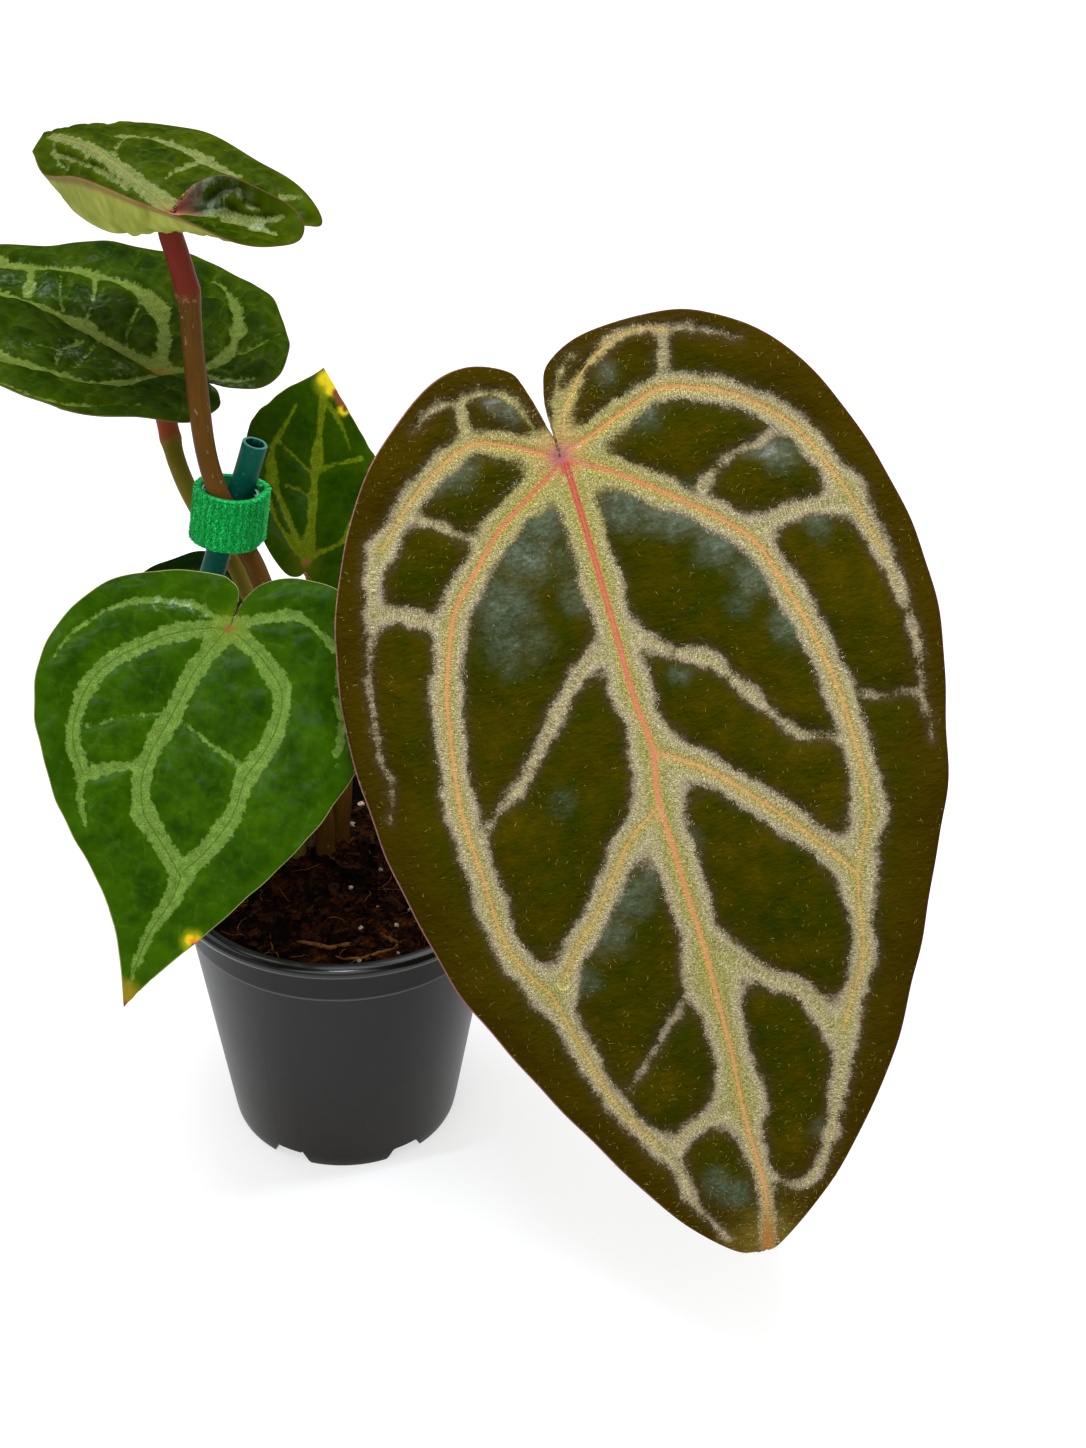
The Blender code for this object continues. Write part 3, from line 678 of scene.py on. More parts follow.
def stake_mesh():
    """Up the outside, over the cut and down the bore, as one sheet."""
    ends = 200
    line = smooth_line(STAKE_ROUTE, ends)
    up = np.concatenate([np.linspace(0, ends, UP_STEPS), [ends] * CUT_STEPS,
                         np.linspace(ends, ends * (1 - BORE_DEPTH), BORE_STEPS)])
    up = np.rint(up).astype(int)
    cut = [STAKE_RADIUS, STAKE_RADIUS - 0.12, (STAKE_RADIUS + STAKE_BORE) / 2, STAKE_BORE + 0.1,
           STAKE_BORE]
    radius = np.concatenate([[0.0], np.full(UP_STEPS - 1, STAKE_RADIUS), cut,
                             np.full(BORE_STEPS - 1, STAKE_BORE), [0.0]])
    raise_by = np.concatenate([np.zeros(UP_STEPS), [0, 0.10, 0.14, 0.1, 0],
                               np.zeros(BORE_STEPS)])
    way = units(np.gradient(line, axis=0))
    side = units(np.cross(way, (0.0, 1.0, 0.0)))
    third = np.cross(way, side)
    last = len(up) - 1

    def form(turn, out):
        at = np.rint(out * last).astype(int)
        angle = turn * 2 * np.pi
        spread = side[up[at]] * np.cos(angle)[:, None] + third[up[at]] * np.sin(angle)[:, None]
        cut_face = (raise_by[at] > 0).astype(float)
        burr = 1 + 0.012 * np.sin(angle * 5 + 1) * cut_face
        spots = (line[up[at]] + spread * (radius[at] * burr)[:, None]
                 + way[up[at]] * raise_by[at][:, None])
        inside = (at >= UP_STEPS + CUT_STEPS).astype(float)
        return spots, {"cut": cut_face, "inside": inside}

    return welded(sheet(48, last, form))


def stake_plastic():
    made = Surface("stake_plastic", Specular_IOR_Level=0.07)
    place = made.place()
    cut, inside = made.attributes("cut", "inside")
    cloud = made.grain(place, 130.0, 4.0)
    dust = made.grain(place, 900.0).fades(0.70, 0.62)
    colour = made.coats(
        made.ramp(cloud, [(0.32, (0.0, 0.046, 0.030)), (0.7, (0.0005, 0.094, 0.064))]),
        (dust * 0.12, (0.2, 0.3, 0.28)), (cut * (cloud * 0.6 + 0.1), (0.16, 0.30, 0.27)))
    # The bore's colour is multiplied down to a quarter: painted shade inside the hollow tube.
    colour = made.darkened(inside, colour, (0.25, 0.25, 0.25))
    return made.ends_in(Base_Color=colour, Roughness=cloud * 0.2 + 0.28,
                        Normal=made.relief(cloud, 0.10))


dress("stake", stake_mesh(), [stake_plastic()], stands_for="support_stake")


# Plant tie
# A bright green hook-and-loop strap, 15 mm wide, wrapped once round the stake and the top leaf's
# stalk and pressed closed on itself. Its outside is knitted loop pile in uneven vertical ribs.

TIE_CENTRE = Vector((-28.5, 5.2, 206.1))
TIE_HALF_WIDTH = 8.8
TIE_HALF_DEPTH = 8.8
TIE_HEIGHT = 15.0
TIE_THICKNESS = 1.7
TIE_LEAN, TIE_TILT = 8.0, -3.0
TIE_START, TIE_TURNS = 0.35, 1.13      # where the strap's end lies, and how far it wraps
LAP_START, LAP_REACH = 0.80, 0.09      # the shares of it where it climbs over its own start
TIE_FRAME = (Matrix.Translation(TIE_CENTRE) @ Matrix.Rotation(math.radians(TIE_LEAN), 4, "Y")
             @ Matrix.Rotation(math.radians(TIE_TILT), 4, "X"))


def tie_spot(angle, height, out):
    """A place on the strap: out is how far it stands out of the middle of the strap."""
    return TIE_FRAME @ Vector(((TIE_HALF_WIDTH + out) * math.cos(angle),
                               (TIE_HALF_DEPTH + out) * math.sin(angle), height))


def pile(angle, height):
    """The knitted loops: ribs that wander along the strap, broken into knots."""
    rib = math.sin(angle * 29 + 1.2 * noise.noise(Vector((angle * 5, height / 3.5, 0))) * 2)
    knot = noise.noise(Vector((angle * 22, height / 0.48, 3.0)))
    fluff = noise.noise(Vector((angle * 52, height / 0.24, 9.0)))
    return 0.09 * rib + 0.34 * knot + 0.32 * fluff


def tie_mesh():
    """The strap as a flat tube, wrapped past its own start: loops outside, plain inside."""
    half, tall = TIE_THICKNESS / 2, TIE_HEIGHT / 2

    def form(turn, round_it):
        wrap = TIE_START + turn * TIE_TURNS * 2 * np.pi
        spots, piles = [], []
        for angle, share, part in zip(wrap, round_it, turn):
            overlap = min(max((part - LAP_START) / LAP_REACH, 0), 1)
            rise = overlap * overlap * (3 - 2 * overlap) * (TIE_THICKNESS + 0.15)
            outward = math.sin(2 * math.pi * share)
            height = -math.cos(2 * math.pi * share) * tall
            height = max(min(height * 1.06, tall), -tall)
            flat = min(1.0, abs(outward) * 5.5) ** 0.5
            out = math.copysign(half * flat, outward)
            loops = pile(angle, height) if outward > 0 else 0.0
            edge = 0.25 * noise.noise(Vector((angle * 14, share * 3, 5.0)))
            close = 1 - 0.85 * max(0, (abs(part - 0.5) - 0.485) / 0.015)
            spots.append(tuple(tie_spot(angle, height + edge * (1 - flat * 0.8),
                                        (out + loops * flat) * close + rise)))
            piles.append(loops)
        inner = (np.sin(2 * np.pi * round_it) < -0.05).astype(float)
        return np.array(spots), {"pile": np.array(piles), "inner": inner}

    return welded(sheet(400, 110, form))


def tie_cloth():
    made = Surface("tie_cloth", Specular_IOR_Level=0.1, Roughness=0.9, Sheen_Weight=0.12,
                   Sheen_Roughness=0.5, Sheen_Tint=(0.4, 1.0, 0.55))
    height, inner = made.attributes("pile", "inner")
    knit = made.grain(made.place(), 2300.0, 2.0, 0.6)
    # The colour follows the pile's height and a fine knit noise. It is darker in the low places between
    # the loops, which is painted shade, and lighter on the raised loops, which is painted highlight.
    # The fibre's uneven tone is mixed in.
    colour = made.ramp(height + knit * 1.3 - 0.15, [
        (0.15, (0.0, 0.090, 0.005)), (0.42, (0.0002, 0.28, 0.032)),
        (0.70, (0.006, 0.46, 0.10)), (0.95, (0.07, 0.72, 0.28))])
    colour = made.mixed(inner, colour, (0.004, 0.20, 0.06))
    return made.ends_in(Base_Color=colour, Normal=made.relief(knit, 0.25))


def spikes(roots, tips, radius, marks=None):
    """Fine pointed hairs as one mesh: three sides each, from root to tip."""
    roots, tips = np.array(roots), np.array(tips)
    way = units(tips - roots)
    side = units(np.cross(way, np.where(np.abs(way[:, 2:3]) > 0.9, (1.0, 0, 0), (0, 0, 1.0))))
    third = np.cross(way, side)
    corners = np.empty((len(roots), 4, 3))
    for k in range(3):
        angle = 2 * math.pi * k / 3
        corners[:, k] = roots + (side * math.cos(angle) + third * math.sin(angle)) * radius
    corners[:, 3] = tips
    faces = np.array([[0, 1, 3], [1, 2, 3], [2, 0, 3], [0, 2, 1]])
    faces = (faces[None] + 4 * np.arange(len(roots))[:, None, None]).reshape(-1, 3)
    mesh = bpy.data.meshes.new("spikes")
    mesh.from_pydata((corners * MM).reshape(-1, 3), [], faces)
    for name, values in (marks or {}).items():
        keep(mesh, name, np.repeat(values, 4))
    mesh.shade_smooth()
    return mesh


def tie_fluff(count=9000):
    """Loose ends of the pile, standing out all over the strap's outside and edges."""
    roots, tips = [], []
    for _ in range(count):
        angle = TIE_START + seed.uniform(0, 1) * 2 * math.pi
        height = seed.uniform(-0.5, 0.5) * TIE_HEIGHT
        lift = seed.uniform(0.35, 0.75)
        roots.append(tuple(tie_spot(angle, height, TIE_THICKNESS / 2 + 0.1)))
        tips.append(tuple(tie_spot(angle + seed.normal(0, 0.05), height + seed.normal(0, 0.45),
                                   TIE_THICKNESS / 2 + 0.8 * lift)))
    return spikes(roots, tips, 0.055)


def tie_hooks(rows=9, columns=12):
    """Two patches of moulded hooks on the strap's inside, one near each end of the opening."""
    bm = bmesh.new()
    for start in (math.pi - 0.5, -0.55):
        for i in range(columns):
            for row in range(rows):
                angle, height = start + i * 0.09, (row - 4) * 1.6
                place, middle, top = (tie_spot(angle, height, out) for out in (
                    -TIE_THICKNESS / 2 - 0.25, 0, -TIE_THICKNESS / 2 - 0.6))
                way = (place - middle).to_track_quat("Z", "Y").to_matrix().to_4x4()
                bmesh.ops.create_cone(bm, cap_ends=True, segments=6, radius1=0.12 * MM,
                                      radius2=0.1 * MM, depth=0.6 * MM,
                                      matrix=Matrix.Translation(place * MM) @ way)
                bmesh.ops.create_icosphere(bm, subdivisions=1, radius=0.2 * MM,
                                           matrix=Matrix.Translation(top * MM))
    return mesh_from(bm)


cloth = tie_cloth()
dress("tie_strap", tie_mesh(), [cloth], stands_for="plant_tie")
dress("tie_pile", tie_fluff(), [cloth])
hook_finish = Surface("hook_plastic", Base_Color=(0.25, 0.55, 0.35), Roughness=0.2).material
dress("tie_hooks", tie_hooks(), [hook_finish])


# Leaf blades
# Each blade is a thin living sheet that hangs from the end of its stalk, with a lobe on each side
# of the notch. Pale bands follow its veins, the tissue between them bulges, and the veins stand
# out below. A blade's own frame has x across it, y from the junction to the tip and z up.

RIB_START = 0.14               # up to this share of a blade's length its spokes start at the junction
ENDLESS = 1e9                  # further than any place on the plant
LEAVES = {
    "velvet": {
        "junction": (59.0, -20.0, 234.5), "heading": -64, "dip": 57.5, "bank": -29, "fold": -1,
        "arch": 5.0, "ripple": 0.9, "waves": 9, "nicks": 0.0016, "weld": 0.02,
        "rib": [(0, 0), (-1.5, 40), (-3.5, 95), (-2.5, 150), (0, 217.5)],
        "right": [(0.15, -4), (1.2, -7.0), (2.1, -10.0), (2.9, -13.0), (4.3, -17.7), (7.3, -24),
          (18, -28), (30, -25), (46, -12.5), (58, 4), (66, 22), (71.5, 44), (72.5, 68), (70.5, 90),
          (63, 124), (52.5, 149.5), (35.5, 181), (20.5, 204), (8, 216), (0, 217.5)],
        "left": [(0.1, -4), (0.15, -7.0), (0.35, -10.0), (0.4, -13.0), (0.0, -17), (-2.8, -23.5),
          (-13, -28.5), (-30, -29.5), (-45, -26.5), (-62, -14.5), (-75, 8), (-82.5, 33), (-85.5, 56),
          (-82.5, 80), (-75, 110), (-63.8, 137), (-51.3, 164.5), (-33.5, 191), (-16.5, 208), (-4, 217),
          (0, 217.5)],
    },
    "front": {
        "junction": (-28.5, -20.0, 184.5), "heading": -112, "dip": 43.5, "bank": 22, "fold": 4,
        "arch": 2.5, "ripple": 0.6, "waves": 7, "nicks": 0.002,
        "rib": [(0, 0), (3, 20), (7, 40), (4.5, 62), (4, 78), (2, 92), (0, 104)],
        "right": [(-0.5, -2.6), (-0.5, -5.8), (-0.4, -8.8), (0.7, -11.5), (2.9, -12.8), (5.4, -13.5),
          (12, -12.6), (21, -10), (33.5, -3.5), (43, 11), (45, 25), (42.5, 36.5), (36, 49), (28, 61),
          (17, 72.5), (9.5, 82), (4.5, 92), (0, 104)],
        "left": [(-0.5, -2.6), (-1.5, -7.6), (-2.7, -10.4), (-5.4, -14), (-10.5, -17.2), (-16.5, -18.5),
          (-26, -17.5), (-36, -10), (-43, 4), (-45, 16), (-42, 31), (-34.5, 50), (-26, 65), (-16, 80),
          (-6, 94), (0, 104)],
    },
    "top": {
        "junction": (-38.8, 0.0, 292.6), "heading": 135, "dip": 0, "bank": 0, "fold": 0, "arch": 0.0,
        "ripple": 0.3, "waves": 5, "nicks": 0.0,
        "rib": [(0, 0, 0), (2.8, 17, 5.2), (4, 32.8, 8), (4.4, 43.8, 8.4), (6.5, 54.3, 5.2),
          (12, 59, -3)],
        "right": [(0.5, -1.5, 0.6), (8, -4, 0.5), (16, -10, 0), (24, -18, -4), (31, -21.5, -6),
          (34, -18.5, -3.5), (34.4, -11.5, 0.6), (34.4, 2.6, 4), (34.3, 13.8, 6), (33.4, 26, 7.5),
          (30, 37.3, 7.2), (23.7, 47, 6), (18.5, 54, 3.5), (12, 59, -3)],
        "left": [(0.5, -1.5, 0.6), (2.8, -4.2, 6), (4.6, -8.8, 9.6), (7.6, -13.2, 10.9),
          (12, -17.7, 8.7), (16.5, -25, 5), (17.2, -30, 1), (13.2, -33, -2), (5.8, -34, -1.5),
          (-6.3, -33.3, 2.3, 1), (-12.8, -24, 6, 3), (-15, -11, 8, 6.5), (-18.5, 2, 11, 10.5),
          (-16, 16, 9, 11), (-12, 29, 5.5, 8), (-8.5, 38.5, 3.5, 4), (-3.2, 47.5, 4.2), (3, 54.5, 2.2),
          (12, 59, -3)],
    },
    "left": {
        "junction": (-46.6, 36.0, 234.2), "heading": 142, "dip": -8, "bank": 0, "fold": 10, "arch": 3.0,
        "ripple": 0.7, "waves": 6, "nicks": 0.003,
        "rib": [(0, 0), (0, 27), (1.5, 45), (0, 97)],
        "right": [(4, -13), (6.2, -21), (12, -26.5), (21, -26.2), (32, -19.5), (43.5, -5), (48, 10),
          (45.5, 26), (40.5, 38.5), (34, 51), (24, 65), (13, 79), (5, 89), (0, 97)],
        "left": [(4, -13), (2.5, -18.5), (-4, -24.5), (-12.5, -26.5), (-21, -26.2), (-28, -22.5),
          (-37, -14.3), (-45.5, -4), (-49.5, 8), (-47.5, 26), (-39, 45), (-26, 63), (-12, 78), (-4, 88),
          (0, 97)],
    },
    "back": {
        "junction": (-8.3, 45.0, 168.6), "heading": 80, "dip": -50, "bank": 0, "fold": 6, "arch": -3.0,
        "ripple": 0.5, "waves": 5, "nicks": 0.003,
        "rib": [(0, 0), (0.3, 30), (0, 60)],
        "right": [(0, -2.8), (2, -4.5), (5, -8), (11, -9.5), (17, -4), (20.5, 6), (21.5, 19), (19, 31),
          (13.5, 40), (8, 48), (3, 55.5), (0, 60)],
        "left": [(0, -2.8), (-2, -4.5), (-6, -3.5), (-12.5, 4.5), (-17.5, 16), (-20.5, 28), (-21.3, 38),
          (-18.5, 45), (-12, 51.5), (-5, 56), (0, 60)],
    },
    "rear": {
        "junction": (-25.0, 50.0, 156.0), "heading": 184, "dip": 8, "bank": 6, "fold": 0, "arch": 0.0,
        "ripple": 0.4, "waves": 5, "nicks": 0.0,
        "rib": [(0, 0), (0, 25), (0, 58)],
        "right": [(0, -3), (2, -5.5), (6, -6), (15, 1), (21.5, 6.5), (25.5, 12.5), (26, 19), (24, 26.5),
          (19.5, 32.5), (13.5, 40.5), (7, 49), (0, 58)],
        "left": [(0, -3), (-3, -6.5), (-9, -8), (-16, -5.5), (-21.5, 1), (-24, 11), (-23.5, 21),
          (-19.5, 31), (-13.5, 40.5), (-6.5, 49.5), (0, 58)],
    },
}
# The veins as they were read from the picture: the half width of the pale band where the vein
# starts and where it ends, then, where it has a coloured line, that line's half width and how red
# it is at each end, and last the route in pixels.
VEINS = {
    "velvet": [
        (5.0, 5.6, 0.85, 1.0, 0.55, [(566, 464), (580, 510), (594, 557), (615, 630), (634, 698),
         (652, 747), (658, 798), (672, 844), (688, 897), (703, 943), (713, 982)]),
        (5.7, 4.9, 0.55, 0.55, 0.45, [(713, 982), (718, 1000), (731, 1050), (742, 1104)]),
        (4.9, 2.4, 0.5, 0.5, 0.45, [(742, 1104), (748, 1128), (755, 1152)]),
        (2.4, 2.3, 0.45, 0.5, 0.5, [(755, 1152), (766, 1195), (768, 1245)]),
        (3.6, 3.3, 0.42, 0.7, 0.3, [(562, 455), (590, 436), (625, 410), (660, 388), (700, 388),
         (739, 396), (797, 428), (846, 489)]),
        (3.2, 2.1, 0.3, 0.2, 0.1, [(846, 489), (866, 522), (884, 553)]),
        (2.0, 1.0, [(884, 553), (900, 590), (911, 621)]),
        (1.0, 0.7, [(911, 621), (919, 655), (921, 686)]),
        (0.7, 0.3, [(919, 692), (927, 708), (932, 739)]),
        (3.9, 3.9, 0.48, 0.85, 0.2, [(568, 460), (611, 471), (644, 484), (682, 500), (718, 517),
         (754, 540), (772, 565), (795, 601), (815, 637), (838, 688), (853, 734), (864, 775),
         (869, 816)]),
        (3.6, 3.1, 0.35, 0.2, 0.1, [(869, 816), (858, 880), (864, 951), (851, 1000), (844, 1028)]),
        (3.1, 1.7, [(844, 1028), (842, 1062), (831, 1130)]),
        (1.6, 1.3, [(831, 1130), (822, 1160), (808, 1180), (794, 1184), (766, 1173)]),
        (1.9, 1.0, 0.22, 0.25, 0.1, [(564, 432), (566, 408), (580, 375), (597, 354), (620, 335),
         (646, 328), (665, 330)]),
        (0.9, 0.4, [(665, 330), (691, 327), (740, 338)]),
        (1.7, 1.1, [(561, 448), (559, 425), (556, 404)]),
        (1.1, 0.3, [(556, 404), (560, 372), (572, 352)]),
        (1.2, 0.5, [(554, 446), (548, 428), (541, 412)]),
        (1.1, 1.3, [(662, 382), (662, 351), (662, 330)]),
        (1.4, 0.7, [(703, 487), (712, 471), (723, 460)]),
        (0.6, 1.5, [(723, 460), (741, 449), (757, 443), (775, 428)]),
        (2.6, 2.6, [(757, 529), (777, 517), (805, 507), (850, 500)]),
        (2.3, 1.7, [(636, 634), (662, 648), (692, 655), (713, 660), (733, 678), (754, 696)]),
        (1.5, 0.6, [(754, 696), (782, 721), (797, 732), (828, 736), (848, 738)]),
        (4.2, 3.7, 0.5, 0.45, 0.2, [(654, 752), (688, 762), (718, 775), (751, 795), (784, 816),
         (815, 839), (841, 859), (856, 874)]),
        (2.9, 2.9, [(713, 946), (739, 961), (772, 979), (802, 989), (831, 1024)]),
        (0.6, 0.3, [(861, 693), (886, 696)]),
        (0.6, 0.3, [(897, 692), (920, 688)]),
        (4.4, 3.9, 0.5, 0.9, 0.15, [(556, 468), (531, 495), (507, 521), (493, 540), (473, 577),
         (456, 609), (450, 642), (447, 695), (450, 734), (461, 811), (483, 878), (502, 936), (524, 970),
         (551, 994)]),
        (3.5, 2.3, 0.3, 0.1, 0.1, [(551, 994), (586, 1056), (608, 1093), (632, 1121), (658, 1145)]),
        (2.3, 0.7, [(658, 1145), (679, 1169), (690, 1195), (710, 1219), (728, 1238)]),
        (3.3, 3.0, 0.4, 0.8, 0.1, [(548, 455), (519, 448), (479, 443), (457, 453), (434, 474),
         (413, 498), (396, 526), (382, 550)]),
        (2.8, 2.0, [(382, 550), (373, 577), (375, 611)]),
        (1.3, 0.6, [(375, 611), (371, 642), (369, 683)]),
        (0.7, 0.3, [(369, 683), (375, 724), (381, 760), (391, 783), (391, 820)]),
        (0.9, 0.8, [(538, 436), (519, 408), (500, 394), (476, 394), (462, 401)]),
        (0.9, 0.5, [(462, 401), (434, 408), (415, 429)]),
        (1.1, 1.9, [(462, 403), (464, 424), (472, 441)]),
        (1.5, 0.9, [(404, 514), (432, 523), (453, 532), (474, 540)]),
        (2.3, 2.3, [(379, 615), (401, 615), (428, 622), (448, 626)]),
        (2.6, 1.5, [(601, 654), (585, 666), (569, 691), (544, 740), (530, 769), (518, 791)]),
        (1.4, 0.9, [(518, 791), (497, 813), (481, 840)]),
        (4.2, 3.2, 0.35, 0.3, 0.1, [(659, 806), (631, 839), (612, 880), (592, 925), (578, 945),
         (563, 984)]),
        (0.9, 0.6, [(691, 988), (674, 1017), (651, 1056), (630, 1089)]),
        (2.7, 2.4, [(740, 1100), (712, 1117), (690, 1130), (677, 1147)]),
    ],
    "front": [
        (2.7, 2.6, 0.3, 0.3, 0.1, [(228, 628), (196, 669), (171, 717), (150, 754), (141, 785),
         (144, 815)]),
        (2.7, 2.3, 0.25, 0.1, 0.1, [(144, 815), (165, 849), (181, 877)]),
        (2.9, 1.0, 0.2, 0.1, 0.1, [(181, 877), (171, 901), (150, 932), (138, 960)]),
        (0.8, 0.4, 0.2, 0.1, 0.1, [(138, 960), (132, 975), (123, 1007)]),
        (2.6, 2.6, 0.25, 0.2, 0.1, [(236, 634), (256, 652), (269, 669), (282, 693), (278, 724),
         (263, 754), (245, 779), (233, 815), (208, 849), (184, 871)]),
        (2.5, 1.9, 0.25, 0.2, 0.1, [(222, 628), (199, 629), (168, 635), (138, 647), (110, 662),
         (89, 684), (76, 714), (73, 742), (83, 773)]),
        (1.1, 0.3, [(83, 773), (80, 794), (86, 828)]),
        (1.2, 1.6, [(83, 775), (110, 768), (135, 765)]),
        (0.3, 0.2, [(85, 727), (129, 716), (165, 714)]),
        (0.3, 0.9, [(181, 721), (208, 742), (242, 768)]),
        (1.2, 0.7, [(222, 622), (206, 611), (190, 604), (153, 600), (136, 601)]),
        (0.7, 0.3, [(136, 601), (107, 610), (70, 635), (55, 656)]),
        (1.5, 1.2, [(236, 624), (269, 618), (297, 616), (315, 629), (334, 647)]),
        (0.7, 0.4, [(334, 699), (341, 724), (337, 766)]),
    ],
    "top": [
        (3.4, 1.3, 0.35, 0.6, 0.4, [(168, 209), (155, 196), (140, 184), (128, 174), (106, 158),
         (86, 146), (67, 140), (52, 137)]),
        (0.7, 1.2, [(118, 138), (149, 139), (169, 145)]),
        (1.2, 2.1, [(169, 145), (188, 152), (206, 161)]),
        (2.0, 0.9, [(206, 161), (221, 170), (240, 178)]),
        (0.4, 0.4, [(115, 157), (117, 147), (125, 140)]),
        (0.9, 1.0, [(281, 198), (299, 198)]),
        (0.4, 0.9, [(165, 180), (178, 171), (191, 166), (204, 163)]),
        (0.4, 0.4, [(54, 146), (57, 160), (68, 170)]),
        (0.5, 0.8, [(58, 156), (66, 158), (90, 166), (112, 178), (128, 188)]),
        (0.4, 0.5, [(84, 147), (88, 157), (84, 164)]),
        (1.0, 1.5, [(186, 217), (203, 213), (221, 214), (241, 219), (258, 230)]),
        (1.3, 0.6, [(241, 219), (262, 222), (284, 217)]),
        (0.8, 0.5, [(213, 203), (222, 193), (238, 190)]),
        (0.6, 0.4, [(240, 190), (246, 204), (258, 208)]),
    ],
    "left": [
        (2.4, 2.2, 0.5, 0.7, 0.2, [(162, 373), (142, 362), (121, 352), (82, 328)]),
        (2.2, 1.7, 0.4, 0.2, 0.1, [(82, 328), (43, 309), (0, 295)]),
        (2.0, 2.4, [(161, 364), (164, 340), (160, 314), (148, 299)]),
        (2.2, 1.1, [(148, 299), (128, 286), (100, 278), (76, 271)]),
        (1.1, 1.4, [(76, 271), (54, 270), (22, 268), (0, 266)]),
        (1.4, 1.8, [(152, 378), (121, 384), (91, 384), (50, 373), (13, 362), (0, 358)]),
        (1.2, 1.3, [(31, 272), (30, 284), (27, 298)]),
        (0.5, 0.5, [(95, 280), (93, 304), (86, 321)]),
        (0.8, 0.5, [(80, 343), (65, 350), (39, 348), (13, 341)]),
        (0.5, 0.5, [(59, 352), (56, 367)]),
        (0.5, 0.5, [(2, 384), (33, 397), (65, 405), (104, 408), (139, 407)]),
        (1.5, 2.0, [(168, 372), (202, 369), (226, 358), (238, 334)]),
        (1.8, 0.7, [(238, 334), (237, 312), (225, 291), (214, 283)]),
        (0.8, 0.5, [(204, 375), (226, 382), (256, 380)]),
        (0.5, 0.3, [(241, 356), (278, 336)]),
        (0.3, 0.3, [(64, 318), (60, 298), (62, 276)]),
        (0.3, 0.3, [(124, 350), (130, 326), (142, 302)]),
        (0.3, 0.3, [(100, 338), (84, 360), (66, 376)]),
    ],
    "back": [
        (1.6, 1.2, [(307, 560), (311, 528), (314, 489), (319, 440), (322, 412), (325, 380)]),
        (0.9, 1.2, [(305, 558), (289, 520), (277, 490), (271, 463)]),
        (1.2, 0.6, [(271, 463), (273, 446), (284, 428), (296, 406)]),
        (0.5, 0.5, [(277, 440), (292, 454), (311, 474)]),
        (0.9, 0.9, [(308, 558), (324, 551), (344, 540), (358, 512)]),
        (0.9, 0.6, [(321, 470), (340, 463), (362, 459)]),
        (0.4, 0.4, [(312, 500), (300, 490), (286, 486)]),
        (0.7, 0.5, [(329, 404), (341, 424), (350, 448)]),
    ],
    "rear": [],
}
NO_INK = (0.0, 0.0, 0.0)
# Where the blade tips back and takes a sheen from the sky: the pixel, the reach in millimetres and the
# strength. The shaders paint this sheen into the colour as a painted reflection, and also give it a
# glossy coat.
SHEEN = {
    "velvet": [(536, 520, 8, 1.0), (519, 556, 9, 1.0), (560, 560, 6, 0.6), (502, 602, 9, 1.0),
        (574, 596, 6, 0.8), (500, 650, 8, 0.7), (530, 640, 7, 0.6), (622, 502, 7, 1.0),
        (683, 510, 8, 1.0), (721, 535, 8, 1.0), (655, 512, 6, 0.8), (762, 572, 7, 0.9),
        (740, 600, 5, 0.6), (790, 622, 6, 0.9), (683, 672, 4, 0.6), (455, 468, 6, 0.8),
        (436, 486, 5, 0.8), (645, 410, 6, 0.6), (784, 450, 6, 0.8), (765, 444, 5, 0.6),
        (607, 372, 4, 0.7), (821, 527, 5, 0.6), (626, 900, 7, 1.0), (608, 935, 7, 0.9),
        (650, 887, 5, 0.7), (584, 985, 5, 0.8), (700, 838, 4, 0.6), (821, 1133, 4, 0.6),
        (733, 1196, 5, 0.9), (718, 1185, 5, 0.8), (638, 1130, 3, 0.6), (508, 410, 4, 0.9),
        (492, 405, 4, 0.7), (556, 800, 5, 0.5)],
    "front": [(160, 600, 3, 0.5), (190, 604, 3, 0.55), (175, 601, 3, 0.55), (142, 601, 3, 0.4),
        (206, 612, 2, 0.4), (120, 668, 7, 0.24), (95, 735, 6, 0.24), (190, 735, 7, 0.22),
        (95, 800, 5, 0.3)],
    "top": [(196, 190, 3, 0.7), (206, 184, 3, 0.7), (220, 181, 3, 0.6), (232, 184, 3, 0.5),
        (192, 203, 3, 0.8), (203, 209, 3, 0.9), (214, 207, 3, 0.7), (228, 194, 3, 0.6),
        (239, 196, 2, 0.6), (258, 222, 3, 0.6), (246, 200, 3, 0.5)],
    "left": [(44, 288, 10, 0.45), (90, 300, 10, 0.45), (76, 352, 9, 0.5), (215, 382, 8, 0.5),
        (120, 368, 9, 0.42), (240, 385, 7, 0.5), (20, 345, 9, 0.42), (10, 280, 8, 0.45)],
}
# Veins where another leaf or the picture's edge hides the blade, in the blade's own frame. The
# third value says which of the veins above it goes on from.
HIDDEN_VEINS = {
    "front": [(1.2, 0.5, None, [(-31, 4), (-36, 14), (-36, 26)])],
    "top": [(1.6, 1.2, None, [(-2, -2), (-9, 8), (-10, 20), (-5, 33)]),
            (1.5, 0.8, None, [(3, -6), (9, -18), (10, -27)])],
    "left": [(1.7, 0.9, 1, [(0, 84), (0, 95)]), (1.5, 0.9, 4, [(10, 72), (2, 88)]),
             (1.8, 0.9, 5, [(-12, 72), (-2, 88)])],
    "back": [(0.9, 0.6, None, [(-3, 3), (-11, 14), (-14, 26)])],
    "rear": [(1.8, 0.8, None, [(0, 0), (0, 25), (0, 55)]),
             (1.2, 0.8, None, [(1, 1), (10, 7), (17, 18), (13, 32), (4, 48)]),
             (1.2, 0.8, None, [(-1, 1), (-10, 6), (-16, 17), (-13, 31), (-4, 47)])],
}


